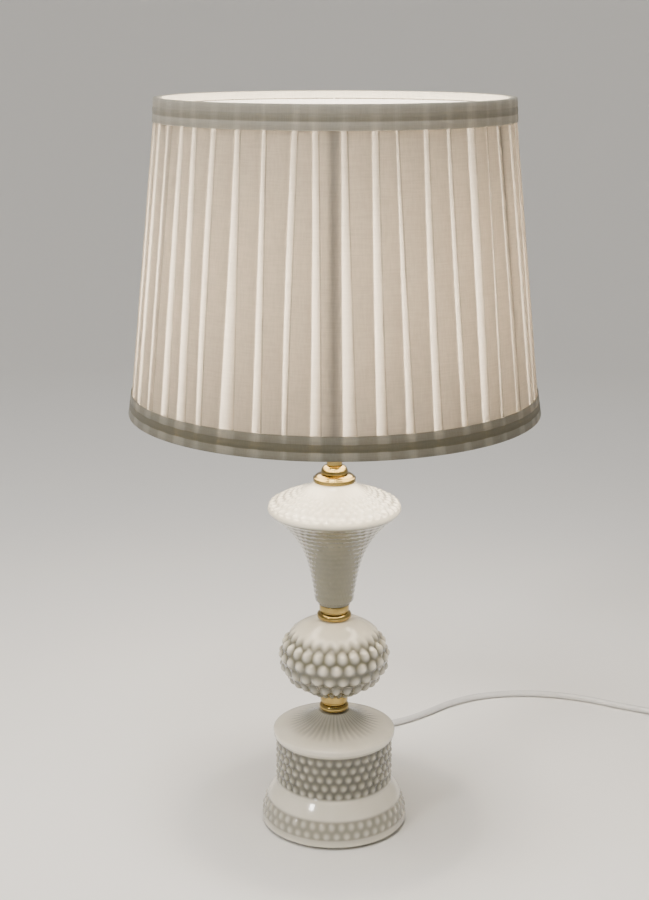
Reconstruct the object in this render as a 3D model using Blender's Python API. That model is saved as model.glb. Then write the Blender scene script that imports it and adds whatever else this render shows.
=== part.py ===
"""Table lamp: a ceramic column on a threaded rod, a screw lamp holder with its bulb, a pleated drum shade
on a wire frame, and a mains cord with an in-line switch and a two-pin plug.

Metres, +Z up. The origin is on the standing surface, on the lamp's axis. The front is -Y and the cord
leaves the foot at the back, along +Y.
"""

import math

import bmesh
import bpy
from mathutils import Matrix, Vector

MM = 0.001
GAP = 0.3 * MM  # between pieces that touch
RUN = 0.4 * MM  # between pieces that turn or slide on each other

# Threaded rod and what clamps on it
ROD_R = 5.0 * MM
ROD_WALL = 1.0 * MM
ROD_BELOW_CEILING = 14.0 * MM
ROD_IN_HOLDER = 8.0 * MM
NUT_ACROSS = 17.0 * MM
NUT_T = 8.0 * MM
WASHER_R = 14.0 * MM
WASHER_T = 1.5 * MM
ROD_HOLE_R = ROD_R + GAP

# Foot and drum, one ceramic piece
PAD_T = 1.6 * MM
CERAMIC_WALL = 5.0 * MM
FOOT_R = 62.5 * MM
FOOT_EDGE = 2.0 * MM
FOOT_LIP_H = 6.0 * MM
FOOT_H = 34.1 * MM
FOOT_CURVE = 1.75
DRUM_R = 50.2 * MM
DRUM_H = 43.0 * MM
LIP_R = 52.1 * MM
LIP_H = 6.3 * MM
CONE_H = 15.1 * MM
CONE_SEAT_R = 13.0 * MM
CEILING_T = 8.4 * MM
BASE_SIDES = 36

# Brass collars below and above the ball
LOW_BEAD_R = 13.0 * MM
LOW_BEAD_H = 7.0 * MM
LOW_RING_R = 11.8 * MM
LOW_RING_H = 7.2 * MM
COLLAR_GROOVE = 1.2 * MM
UP_BEAD_R = 14.8 * MM
UP_BEAD_H = 6.0 * MM
UP_RING_R = 12.7 * MM
UP_RING_H = 6.0 * MM
COLLAR_SIDES = 20

# Ceramic ball
BALL_R = 47.6 * MM
BALL_HALF_H = 35.0 * MM
BALL_LOW_SEAT_R = 11.8 * MM
BALL_UP_SEAT_R = 14.1 * MM
BALL_SIDES = 28

# Ceramic trumpet
TRUMPET_NECK_R = 13.7 * MM
TRUMPET_NECK_H = 2.1 * MM
FLARE_LOW_R = 16.2 * MM
FLARE_UP_R = 53.3 * MM
FLARE_H = 76.5 * MM
FLARE_STEP = 0.9 * MM
RIM_R = 55.5 * MM
RIM_TOP_R = 54.6 * MM
RIM_H = 6.6 * MM
DISC_H = 20.4 * MM
DISC_SEAT_R = 17.8 * MM
TRUMPET_WALL = 4.5 * MM
TRUMPET_FLOOR = 6.0 * MM
TRUMPET_SIDES = 28

# Brass caps and the neck under the lamp holder
CAP_R = 17.7 * MM
CAP_EDGE_H = 3.3 * MM
CAP_H = 6.1 * MM
CAP_TOP_R = 12.4 * MM
DOME_R = 11.2 * MM
DOME_EDGE_H = 1.2 * MM
DOME_H = 7.0 * MM
NECK_R = 6.5 * MM
NECK_H = 24.0 * MM

# Lamp holder for a 27 mm screw bulb
SKIRT_R = 19.8 * MM
HOLDER_R = SKIRT_R + 0.5 * MM
HOLDER_WALL = 1.5 * MM
HOLDER_NOSE_R = 8.5 * MM
HOLDER_DOME_H = 14.0 * MM
HOLDER_CAP_H = 24.0 * MM
SHOULDER_R = SKIRT_R + 2.6 * MM
SHOULDER_T = 3.0 * MM
SKIRT_H = 35.7 * MM
INSERT_T = 4.4 * MM
SCREW_R = 13.1 * MM
SCREW_H = 20.0 * MM
SCREW_WALL = 0.6 * MM
CONTACT_R = 3.0 * MM
CONTACT_H = 1.7 * MM
HOLDER_SIDES = 24

# Parts that hold the shade on the holder
SEAT_WASHER_T = 1.0 * MM
FITTER_WIDTH = 3.4 * MM
FITTER_T = 2.5 * MM
SHADE_RING_R = SKIRT_R + 6.2 * MM
SHADE_RING_H = 10.0 * MM

# Bulb
TIP_R = 2.8 * MM
TIP_H = 1.6 * MM
INSULATOR_R = SCREW_R - 3.6 * MM
INSULATOR_H = 3.0 * MM
BULB_COLLAR_R = SCREW_R + 2.4 * MM
BULB_COLLAR_H = 14.0 * MM
BULB_R = 18.0 * MM
BULB_H = 62.0 * MM
BULB_GLASS = 1.0 * MM
LED_BOARD_T = 1.4 * MM
BULB_SIDES = 20

# Shade
SHADE_BOTTOM_Z = 365.5 * MM
SHADE_HEIGHT = 248.2 * MM
SHADE_BOTTOM_R = 165.3 * MM
SHADE_TOP_R = 138.9 * MM
COVER_T = 1.5 * MM
LINING_T = 1.0 * MM
TRIM_T = 1.3 * MM
TRIM_H = 18.2 * MM
WIRE_R = 1.2 * MM
STRUT_R = 1.0 * MM
STRUT_COUNT = 6
ARM_COUNT = 3
LINING_INSET = 7.0 * MM
FRONT = math.radians(-90)
SHADE_SIDES = 48

# Mains cord
CORD_R = 3.1 * MM
CORD_STEP = 14.0 * MM
CABLE_R = CORD_R - 0.1 * MM
CORD_STRAIGHT = 4.0 * MM
CORD_RAMP = 18.0 * MM
EXIT_Z = 12.0 * MM
RELIEF_BARREL_R = CORD_R + 1.2 * MM
RELIEF_FLANGE_R = CORD_R + 3.4 * MM
RELIEF_FLANGE_T = 2.0 * MM
RELIEF_TIP_R = CORD_R + 0.8 * MM
RELIEF_LENGTH = 25.0 * MM
FLOOR_Z = CORD_R + GAP
COIL_CENTRE = (0.420, 0.100)
COIL_OUTER_R = 44.5 * MM
COIL_LOW_TURNS = 2.7
COIL_HIGH_TURNS = 2.5
COIL_ENTRY = math.radians(60)
SWITCH_LENGTH = 62.0 * MM
SWITCH_WIDTH = 25.0 * MM
SWITCH_HALF_H = 9.5 * MM
SWITCH_WALL = 2.0 * MM
SWITCH_CORNER = 9.0 * MM
SWITCH_TO_COIL = 86.0 * MM
ROCKER_LENGTH = 20.0 * MM
ROCKER_WIDTH = 11.0 * MM
ROCKER_TILT = math.radians(8)
ROCKER_RISE = 2.2 * MM
ROCKER_BARREL_R = 4.2 * MM
ROCKER_PIN_R = 1.2 * MM
PLUG_LENGTH = 34.0 * MM
PLUG_WIDTH = 34.0 * MM
PLUG_BACK_WIDTH = 18.0 * MM
PLUG_T = 13.6 * MM
PLUG_SLEEVE_LENGTH = 18.0 * MM
PLUG_SLEEVE_R = CORD_R + 2.1 * MM
PIN_R = 2.0 * MM
PIN_LENGTH = 19.0 * MM
PIN_SPACING = 19.0 * MM
TAIL_LENGTH = 75.0 * MM


def material(name, colour, roughness, metallic=0.0):
    """A Principled material with this colour and finish."""
    made = bpy.data.materials.new(name)
    made.use_nodes = True
    shader = made.node_tree.nodes["Principled BSDF"]
    shader.inputs["Base Color"].default_value = (*colour, 1.0)
    shader.inputs["Roughness"].default_value = roughness
    shader.inputs["Metallic"].default_value = metallic
    made.diffuse_color = (*colour, 1.0)
    return made


def add_mesh(name, bm, finish):
    """Links a mesh object made from bm, smooth except at its corners."""
    bmesh.ops.recalc_face_normals(bm, faces=bm.faces)
    mesh = bpy.data.meshes.new(name)
    bm.to_mesh(mesh)
    bm.free()
    mesh.shade_smooth()
    mesh.set_sharp_from_angle(angle=math.radians(35))
    mesh.materials.append(finish)
    made = bpy.data.objects.new(name, mesh)
    bpy.context.scene.collection.objects.link(made)
    return made


def arc(centre, radii, start, end, count):
    """Points (r, z) on an ellipse's arc from start to end, in degrees."""
    points = []
    for i in range(count):
        angle = math.radians(start + (end - start) * i / (count - 1))
        points.append((centre[0] + radii[0] * math.cos(angle), centre[1] + radii[1] * math.sin(angle)))
    return points


def turned(name, outline, finish, sides, base_z=0.0):
    """A solid of revolution about Z from a closed outline of (r, z) points, lifted to base_z."""
    bm = bmesh.new()
    ring = [bm.verts.new((r, 0.0, z + base_z)) for r, z in outline]
    edges = [bm.edges.new((a, b)) for a, b in zip(ring, ring[1:])]
    if outline[0][0] > 0 or outline[-1][0] > 0:
        edges.append(bm.edges.new((ring[-1], ring[0])))
    bmesh.ops.spin(
        bm, geom=ring + edges, cent=(0, 0, 0), axis=(0, 0, 1), angle=2 * math.pi, steps=sides
    )
    bmesh.ops.remove_doubles(bm, verts=bm.verts, dist=0.01 * MM)
    return add_mesh(name, bm, finish)


def washer_outline(inner, outer, height):
    """A plain ring's outline, standing on z = 0."""
    return [(inner, 0), (outer, 0), (outer, height), (inner, height)]


def prism(name, corners, low, high, finish):
    """An outline of (x, y) corners raised from low to high."""
    bm = bmesh.new()
    face = bm.faces.new([bm.verts.new((x, y, low)) for x, y in corners])
    raised = bmesh.ops.extrude_face_region(bm, geom=[face])
    top = [v for v in raised["geom"] if isinstance(v, bmesh.types.BMVert)]
    bmesh.ops.translate(bm, verts=top, vec=(0, 0, high - low))
    return add_mesh(name, bm, finish)


def rounded_rectangle(length, width, corner, steps=4):
    """Corners of a rectangle with round corners, centred on the origin."""
    points = []
    for quarter, (sx, sy) in enumerate(((1, 1), (-1, 1), (-1, -1), (1, -1))):
        centre = (sx * (length / 2 - corner), sy * (width / 2 - corner))
        points += arc(centre, (corner, corner), 90 * quarter, 90 * quarter + 90, steps)
    return points


def cut(target, cutter):
    """Takes cutter's shape out of target."""
    cutter.hide_render = True
    cutter.display_type = "WIRE"
    boolean = target.modifiers.new("cut " + cutter.name, "BOOLEAN")
    boolean.operation = "DIFFERENCE"
    boolean.object = cutter


def tube(name, points, radius, finish, resolution=2):
    """A round bar or cord along these points, with flat closed ends."""
    curve = bpy.data.curves.new(name, "CURVE")
    curve.dimensions = "3D"
    curve.bevel_depth = radius
    curve.bevel_resolution = resolution
    curve.use_fill_caps = True
    spline = curve.splines.new("POLY")
    spline.points.add(len(points) - 1)
    for at, point in zip(spline.points, points):
        at.co = (*point, 1.0)
    spline.use_smooth = True
    curve.materials.append(finish)
    made = bpy.data.objects.new(name, curve)
    bpy.context.scene.collection.objects.link(made)
    return made


def smooth_path(points, step):
    """Points about step apart on a smooth curve through these points."""
    points = [Vector(p) for p in points]
    ends = [2 * points[0] - points[1]] + points + [2 * points[-1] - points[-2]]
    fine = [points[0]]
    for before, a, b, after in zip(ends, ends[1:], ends[2:], ends[3:]):
        pieces = max(1, round((b - a).length / step))
        for i in range(1, pieces + 1):
            t = i / pieces
            fine.append(
                0.5
                * (
                    2 * a
                    + (b - before) * t
                    + (2 * before - 5 * a + 4 * b - after) * t**2
                    + (3 * a - before - 3 * b + after) * t**3
                )
            )
    return fine


def place(made, matrix):
    """Puts an object made about the origin at this matrix."""
    made.matrix_world = matrix
    return made


def turned_along(name, outline, finish, sides, start, direction):
    """A turned piece whose axis runs from start along direction."""
    made = turned(name, outline, finish, sides)
    turn = Vector((0, 0, 1)).rotation_difference(Vector(direction)).to_matrix().to_4x4()
    return place(made, Matrix.Translation(start) @ turn)


def smoothstep(t):
    return t * t * (3 - 2 * t)


def foot_radius(z):
    """The foot's radius at height z above its bottom."""
    t = max(0.0, (z - FOOT_LIP_H) / (FOOT_H - FOOT_LIP_H))
    return DRUM_R + (FOOT_R - DRUM_R) * (1 - t**FOOT_CURVE)


def flare_radius(t):
    """The trumpet's radius at share t of the flare's height."""
    return FLARE_LOW_R + (FLARE_UP_R - FLARE_LOW_R) * (0.3 * t + 0.7 * t**3.45)


BALL_LOW_ANGLE = -math.degrees(math.acos(BALL_LOW_SEAT_R / BALL_R))
BALL_UP_ANGLE = math.degrees(math.acos(BALL_UP_SEAT_R / BALL_R))
BALL_CENTRE = -BALL_HALF_H * math.sin(math.radians(BALL_LOW_ANGLE))
BALL_H = BALL_CENTRE + BALL_HALF_H * math.sin(math.radians(BALL_UP_ANGLE))

# Heights of the column's pieces, from the standing surface up
BASE_Z = PAD_T + GAP
BASE_H = FOOT_H + DRUM_H + LIP_H + CONE_H
LOW_COLLAR_Z = BASE_Z + BASE_H + GAP
LOW_COLLAR_H = LOW_BEAD_H + COLLAR_GROOVE + LOW_RING_H
BALL_Z = LOW_COLLAR_Z + LOW_COLLAR_H + GAP
UP_COLLAR_Z = BALL_Z + BALL_H + GAP
UP_COLLAR_H = UP_BEAD_H + COLLAR_GROOVE + UP_RING_H
TRUMPET_Z = UP_COLLAR_Z + UP_COLLAR_H + GAP
FLARE_Z = TRUMPET_NECK_H + FLARE_STEP
TRUMPET_H = FLARE_Z + FLARE_H + RIM_H + DISC_H
CAP_Z = TRUMPET_Z + TRUMPET_H + GAP
DOME_Z = CAP_Z + CAP_H + GAP
NECK_Z = DOME_Z + DOME_H + GAP
HOLDER_Z = NECK_Z + NECK_H + GAP
CEILING_Z = BASE_Z + BASE_H - CEILING_T
WASHER_Z = CEILING_Z - GAP - WASHER_T
NUT_Z = WASHER_Z - GAP - NUT_T
ROD_Z = CEILING_Z - ROD_BELOW_CEILING
ROD_TOP_Z = HOLDER_Z + ROD_IN_HOLDER

# Heights of the holder's and bulb's pieces
SHOULDER_Z = HOLDER_Z + HOLDER_CAP_H + GAP
INSERT_Z = SHOULDER_Z + GAP
SOCKET_Z = INSERT_Z + INSERT_T + GAP
TIP_Z = SOCKET_Z + CONTACT_H + GAP
INSULATOR_Z = TIP_Z + TIP_H + GAP
BULB_SCREW_Z = INSULATOR_Z + INSULATOR_H + GAP
BULB_COLLAR_Z = BULB_SCREW_Z + SCREW_H + GAP
BULB_Z = BULB_COLLAR_Z + BULB_COLLAR_H + GAP
SEAT_WASHER_Z = SHOULDER_Z + SHOULDER_T + GAP
FITTER_Z = SEAT_WASHER_Z + SEAT_WASHER_T + GAP
CLAMP_WASHER_Z = FITTER_Z + FITTER_T + GAP
SHADE_RING_Z = CLAMP_WASHER_Z + SEAT_WASHER_T + GAP
FITTER_BORE_R = SKIRT_R + 2 * RUN
FITTER_R = FITTER_BORE_R + FITTER_WIDTH
SOCKET_INNER_R = SCREW_R + RUN

SHADE_TOP_Z = SHADE_BOTTOM_Z + SHADE_HEIGHT
WIRE_INSET = COVER_T + GAP + WIRE_R
LINING_OFFSET = WIRE_INSET + WIRE_R + GAP
BOTTOM_WIRE_Z = SHADE_BOTTOM_Z + WIRE_R + GAP
TOP_WIRE_Z = SHADE_TOP_Z - WIRE_R - GAP


def shade_radius(z):
    """The outer radius of the shade's cover at height z."""
    t = (z - SHADE_BOTTOM_Z) / SHADE_HEIGHT
    return SHADE_BOTTOM_R + (SHADE_TOP_R - SHADE_BOTTOM_R) * t


def make_base(ceramic, felt, steel):
    """The foot and drum, its felt pad, and the nut and washer that clamp the rod inside it."""
    foot = [(FOOT_R - FOOT_EDGE, 0), (FOOT_R - 0.3 * FOOT_EDGE, 0.3 * FOOT_EDGE), (FOOT_R, FOOT_EDGE)]
    curve_steps = 6
    for i in range(curve_steps + 1):
        z = FOOT_LIP_H + (FOOT_H - FOOT_LIP_H) * i / curve_steps
        foot.append((foot_radius(z), z))
    drum_top = FOOT_H + DRUM_H
    lip_top = drum_top + LIP_H
    lip = [(DRUM_R, drum_top), (LIP_R, drum_top + 0.25 * LIP_H), (LIP_R, drum_top + 0.8 * LIP_H)]
    cone = [
        (LIP_R - 0.18 * LIP_H, lip_top),
        (0.77 * LIP_R, lip_top + 0.12 * CONE_H),
        (0.48 * LIP_R, lip_top + 0.45 * CONE_H),
        (CONE_SEAT_R, BASE_H),
    ]
    ceiling = BASE_H - CEILING_T
    inner_drum_r = DRUM_R - CERAMIC_WALL
    inside = [
        (ROD_HOLE_R, BASE_H),
        (ROD_HOLE_R, ceiling),
        (WASHER_R + 3 * MM, ceiling),
        (inner_drum_r, drum_top),
        (inner_drum_r, FOOT_H),
        (foot_radius(FOOT_LIP_H) - CERAMIC_WALL, FOOT_LIP_H + 6 * MM),
        (FOOT_R - CERAMIC_WALL, 0),
    ]
    shell = turned("base_shell", foot + lip + cone + inside, ceramic, BASE_SIDES, BASE_Z)
    hole_r, hole_length = RELIEF_BARREL_R + GAP, 6 * CERAMIC_WALL
    hole = turned(
        "cord_hole_cutter", [(0, 0), (hole_r, 0), (hole_r, hole_length), (0, hole_length)], ceramic, 16
    )
    towards_back = Matrix.Rotation(math.radians(-90), 4, "X")
    place(hole, Matrix.Translation((0, FOOT_R - 0.7 * hole_length, EXIT_Z)) @ towards_back)
    cut(shell, hole)
    turned("felt_pad", [(0, 0), (FOOT_R - 2 * FOOT_EDGE, 0), (FOOT_R - 2 * FOOT_EDGE, PAD_T), (0, PAD_T)],
           felt, BASE_SIDES)
    turned("rod_washer", washer_outline(ROD_HOLE_R, WASHER_R, WASHER_T), steel, 24, WASHER_Z)
    nut_r = NUT_ACROSS / 2 / math.cos(math.radians(30))
    nut = prism("rod_nut", arc((0, 0), (nut_r, nut_r), 0, 300, 6), NUT_Z, NUT_Z + NUT_T, steel)
    thread = [(0, 0), (ROD_HOLE_R, 0), (ROD_HOLE_R, 3 * NUT_T), (0, 3 * NUT_T)]
    cut(nut, turned("nut_hole_cutter", thread, steel, 24, NUT_Z - NUT_T))


def make_rod(steel):
    """The hollow threaded rod that the column is strung on."""
    length = ROD_TOP_Z - ROD_Z
    turned("threaded_rod", washer_outline(ROD_R - ROD_WALL, ROD_R, length), steel, 16, ROD_Z)


def collar_outline(bead_r, bead_h, ring_r, ring_h):
    """A collar with a round bead below and a narrower ring above."""
    bead = arc((bead_r - bead_h / 2, bead_h / 2), (bead_h / 2, bead_h / 2), -90, 90, 6)
    groove_r = ring_r - COLLAR_GROOVE
    ring_z = bead_h + COLLAR_GROOVE
    edge = 0.2 * ring_h
    ring = [
        (groove_r, bead_h + 0.2 * COLLAR_GROOVE),
        (groove_r, ring_z),
        (ring_r - 0.4 * edge, ring_z),
        (ring_r, ring_z + edge),
        (ring_r, ring_z + ring_h - edge),
        (ring_r - 0.4 * edge, ring_z + ring_h),
    ]
    return [(ROD_HOLE_R, 0)] + bead + ring + [(ROD_HOLE_R, ring_z + ring_h)]


def make_collars(brass):
    """The two turned brass collars that the ball sits between."""
    low = collar_outline(LOW_BEAD_R, LOW_BEAD_H, LOW_RING_R, LOW_RING_H)
    turned("lower_collar", low, brass, COLLAR_SIDES, LOW_COLLAR_Z)
    up = collar_outline(UP_BEAD_R, UP_BEAD_H, UP_RING_R, UP_RING_H)
    turned("upper_collar", up, brass, COLLAR_SIDES, UP_COLLAR_Z)


def make_ball(ceramic):
    """The hollow ceramic ball, open at both seats for the rod."""
    outer = arc((0, BALL_CENTRE), (BALL_R, BALL_HALF_H), BALL_LOW_ANGLE, BALL_UP_ANGLE, 11)
    inner_r = BALL_R - CERAMIC_WALL
    inner_half_h = BALL_HALF_H - CERAMIC_WALL
    top_angle = math.degrees(math.acos(ROD_HOLE_R / inner_r))
    inner = arc((0, BALL_CENTRE), (inner_r, inner_half_h), top_angle, -top_angle, 7)
    outline = outer + [(ROD_HOLE_R, BALL_H)] + inner + [(ROD_HOLE_R, 0)]
    turned("ball", outline, ceramic, BALL_SIDES, BALL_Z)


def make_trumpet(ceramic):
    """The trumpet with its domed disc, one hollow ceramic piece."""
    flare_steps = 8
    outer = [(TRUMPET_NECK_R, 0), (TRUMPET_NECK_R, TRUMPET_NECK_H)]
    for i in range(flare_steps + 1):
        t = i / flare_steps
        outer.append((flare_radius(t), FLARE_Z + FLARE_H * t))
    rim_z = FLARE_Z + FLARE_H
    disc_z = rim_z + RIM_H
    outer += [(RIM_R, rim_z + 0.53 * RIM_H), (RIM_TOP_R, disc_z)]
    disc_steps = 5
    for i in range(1, disc_steps + 1):
        s = 1 - i / disc_steps
        outer.append((DISC_SEAT_R + (RIM_TOP_R - DISC_SEAT_R) * smoothstep(s), disc_z + DISC_H * (1 - s)))
    roof = TRUMPET_H - 1.6 * TRUMPET_WALL
    inner = [
        (ROD_HOLE_R, TRUMPET_H),
        (ROD_HOLE_R, roof),
        (DISC_SEAT_R - TRUMPET_WALL, roof),
        (0.5 * RIM_R, disc_z + 0.36 * DISC_H),
        (RIM_R - 2 * TRUMPET_WALL, disc_z - 0.35 * RIM_H),
    ]
    inner_steps = 4
    for i in range(inner_steps + 1):
        t = 0.93 * (1 - i / inner_steps)
        r = max(flare_radius(t) - TRUMPET_WALL, ROD_HOLE_R + 2 * MM)
        inner.append((r, max(FLARE_Z + FLARE_H * t, TRUMPET_FLOOR)))
    inner += [(ROD_HOLE_R, TRUMPET_FLOOR), (ROD_HOLE_R, 0)]
    turned("trumpet", outer + inner, ceramic, TRUMPET_SIDES, TRUMPET_Z)


def make_caps(brass):
    """The brass disc and dome on the trumpet, and the neck that carries the holder."""
    disc = [
        (ROD_HOLE_R, 0),
        (CAP_R, 0),
        (CAP_R, CAP_EDGE_H),
        (CAP_R - 0.8 * MM, CAP_EDGE_H + 0.8 * MM),
        (CAP_TOP_R, CAP_H),
        (ROD_HOLE_R, CAP_H),
    ]
    turned("cap_disc", disc, brass, COLLAR_SIDES, CAP_Z)
    crown = arc((NECK_R, DOME_EDGE_H), (DOME_R - NECK_R, DOME_H - DOME_EDGE_H), 0, 90, 5)
    dome = [(ROD_HOLE_R, 0), (DOME_R, 0)] + crown + [(ROD_HOLE_R, DOME_H)]
    turned("cap_dome", dome, brass, COLLAR_SIDES, DOME_Z)
    turned("neck_tube", washer_outline(ROD_HOLE_R, NECK_R, NECK_H), brass, 20, NECK_Z)


def make_holder(plastic, porcelain, brass):
    """The lamp holder: its cap, its threaded body, and the live parts inside."""
    cap_outer = [
        (HOLDER_NOSE_R, 0),
        (0.74 * HOLDER_R, 0.21 * HOLDER_DOME_H),
        (0.93 * HOLDER_R, 0.61 * HOLDER_DOME_H),
        (HOLDER_R, HOLDER_DOME_H),
        (HOLDER_R, HOLDER_CAP_H),
    ]
    inner_r = HOLDER_R - HOLDER_WALL
    cap_inner = [
        (inner_r, HOLDER_CAP_H),
        (inner_r, HOLDER_DOME_H),
        (0.84 * HOLDER_R, 0.68 * HOLDER_DOME_H),
        (0.64 * HOLDER_R, 0.36 * HOLDER_DOME_H),
        (ROD_HOLE_R, 0.29 * HOLDER_DOME_H),
        (ROD_HOLE_R, 0),
    ]
    turned("holder_cap", cap_outer + cap_inner, plastic, HOLDER_SIDES, HOLDER_Z)
    bore = SKIRT_R - HOLDER_WALL
    body = [
        (bore, 0),
        (SHOULDER_R, 0),
        (SHOULDER_R, SHOULDER_T),
        (SKIRT_R, SHOULDER_T),
        (SKIRT_R, SKIRT_H),
        (bore, SKIRT_H),
    ]
    turned("holder_body", body, plastic, HOLDER_SIDES, SHOULDER_Z)
    insert_r = bore - GAP
    turned("holder_insert", [(0, 0), (insert_r, 0), (insert_r, INSERT_T), (0, INSERT_T)],
           porcelain, HOLDER_SIDES, INSERT_Z)
    socket_outer = SOCKET_INNER_R + SCREW_WALL
    socket_h = SHOULDER_Z + SKIRT_H - SOCKET_Z - 3 * MM
    turned("screw_socket", washer_outline(SOCKET_INNER_R, socket_outer, socket_h), brass, HOLDER_SIDES, SOCKET_Z)
    liner = washer_outline(socket_outer + GAP, insert_r, SHOULDER_Z + SKIRT_H - SOCKET_Z)
    turned("holder_liner", liner, porcelain, HOLDER_SIDES, SOCKET_Z)
    contact = [(0, 0), (CONTACT_R, 0), (CONTACT_R, 0.5 * CONTACT_H), (0.5 * CONTACT_R, CONTACT_H), (0, CONTACT_H)]
    turned("centre_contact", contact, brass, 16, SOCKET_Z)


def make_bulb(glass, plastic, steel, porcelain):
    """The candle bulb: contact, insulator, screw cap, plastic collar, glass and the board of its diodes."""
    tip = [(0, 0), (0.6 * TIP_R, 0), (TIP_R, 0.4 * TIP_H), (TIP_R, TIP_H), (0, TIP_H)]
    turned("bulb_contact", tip, steel, 16, TIP_Z)
    insulator = [(0, 0), (TIP_R + MM, 0), (INSULATOR_R, INSULATOR_H), (0, INSULATOR_H)]
    turned("bulb_insulator", insulator, porcelain, BULB_SIDES, INSULATOR_Z)
    screw = washer_outline(SCREW_R - SCREW_WALL, SCREW_R, SCREW_H)
    turned("bulb_screw", screw, steel, BULB_SIDES, BULB_SCREW_Z)
    collar = [(0, 0), (SCREW_R, 0), (BULB_COLLAR_R, 0.7 * BULB_COLLAR_H), (BULB_COLLAR_R, BULB_COLLAR_H),
              (0, BULB_COLLAR_H)]
    turned("bulb_collar", collar, plastic, BULB_SIDES, BULB_COLLAR_Z)
    turned("bulb_glass", candle_outline(), glass, BULB_SIDES, BULB_Z)
    board_r = BULB_COLLAR_R - 3 * BULB_GLASS - GAP
    board = [(0, 0), (board_r, 0), (board_r, LED_BOARD_T), (0, LED_BOARD_T)]
    turned("bulb_led_board", board, porcelain, BULB_SIDES, BULB_Z)


def candle_outline():
    """The glass candle: a thin shell, open below, widest a quarter of the way up."""
    wide_z = 0.26 * BULB_H
    outer = []
    steps = 6
    for i in range(steps + 1):
        t = i / steps
        outer.append((BULB_R * math.cos(0.5 * math.pi * t) ** 0.75, wide_z + (BULB_H - wide_z) * t))
    outer[-1] = (0.0, BULB_H)
    inner = [(max(r - BULB_GLASS, 0.0), z) for r, z in reversed(outer[:-1])]
    inner.insert(0, (0.0, BULB_H - 2 * BULB_GLASS))
    foot = [(BULB_COLLAR_R - 2 * BULB_GLASS, 0), (BULB_COLLAR_R - BULB_GLASS, 0.3 * wide_z)]
    return inner + [(r - BULB_GLASS, z) for r, z in reversed(foot)] + foot + outer


def make_fitter(wire, brass, washer):
    """The ring and washers that hold the shade on the holder, and the ring's three arms."""
    bore = SKIRT_R + RUN
    outline = washer_outline(bore, SHOULDER_R + MM, SEAT_WASHER_T)
    turned("seat_washer", outline, washer, HOLDER_SIDES, SEAT_WASHER_Z)
    turned("clamp_washer", outline, washer, HOLDER_SIDES, CLAMP_WASHER_Z)
    fitter = washer_outline(FITTER_BORE_R, FITTER_R, FITTER_T)
    turned("fitter_ring", fitter, wire, HOLDER_SIDES, FITTER_Z)
    ring = [
        (bore, 0),
        (SHADE_RING_R - MM, 0),
        (SHADE_RING_R, MM),
        (SHADE_RING_R, SHADE_RING_H - MM),
        (SHADE_RING_R - MM, SHADE_RING_H),
        (bore, SHADE_RING_H),
    ]
    turned("shade_ring", ring, brass, HOLDER_SIDES, SHADE_RING_Z)
    inner_z = FITTER_Z + FITTER_T / 2
    inner_r = FITTER_R + WIRE_R
    outer_r = shade_radius(BOTTOM_WIRE_Z) - WIRE_INSET - WIRE_R - GAP
    for i in range(ARM_COUNT):
        angle = FRONT + 2 * math.pi * i / ARM_COUNT
        along = Vector((math.cos(angle), math.sin(angle), 0))
        start = along * inner_r + Vector((0, 0, inner_z))
        end = along * (outer_r - 0.2 * MM) + Vector((0, 0, BOTTOM_WIRE_Z))
        tube(f"fitter_arm_{i + 1}", [start, end], WIRE_R, wire)


def make_shade_frame(wire):
    """The two wire rings and the struts between them."""
    for name, z in (("bottom_ring", BOTTOM_WIRE_Z), ("top_ring", TOP_WIRE_Z)):
        centre = (shade_radius(z) - WIRE_INSET, z)
        section = arc(centre, (WIRE_R, WIRE_R), 0, 300, 6)
        turned(name, section, wire, SHADE_SIDES)
    low = BOTTOM_WIRE_Z + WIRE_R + 2 * GAP
    high = TOP_WIRE_Z - WIRE_R - 2 * GAP
    for i in range(STRUT_COUNT):
        angle = FRONT + 2 * math.pi * i / STRUT_COUNT
        ends = []
        for z in (low, high):
            r = shade_radius(z) - WIRE_INSET
            ends.append((r * math.cos(angle), r * math.sin(angle), z))
        tube(f"strut_{i + 1}", ends, STRUT_R, wire)


def cone_shell(offset, thickness, low, high):
    """The outline of a shell parallel to the cover: offset in from its outer face, between two heights."""
    return [
        (shade_radius(low) - offset - thickness, low),
        (shade_radius(low) - offset, low),
        (shade_radius(high) - offset, high),
        (shade_radius(high) - offset - thickness, high),
    ]


def make_shade_cloth(fabric, lining, ribbon):
    """The pleated cover, the lining inside the wire, and the ribbon along both edges."""
    bottom, top = SHADE_BOTTOM_Z, SHADE_TOP_Z
    turned("shade_cover", cone_shell(0, COVER_T, bottom, top), fabric, SHADE_SIDES)
    lining_ends = (bottom + LINING_INSET, top - LINING_INSET)
    turned("shade_lining", cone_shell(LINING_OFFSET, LINING_T, *lining_ends), lining, SHADE_SIDES)
    trim_offset = -GAP - TRIM_T
    turned("bottom_trim", cone_shell(trim_offset, TRIM_T, bottom, bottom + TRIM_H), ribbon, SHADE_SIDES)
    turned("top_trim", cone_shell(trim_offset, TRIM_T, top - TRIM_H, top), ribbon, SHADE_SIDES)


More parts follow.
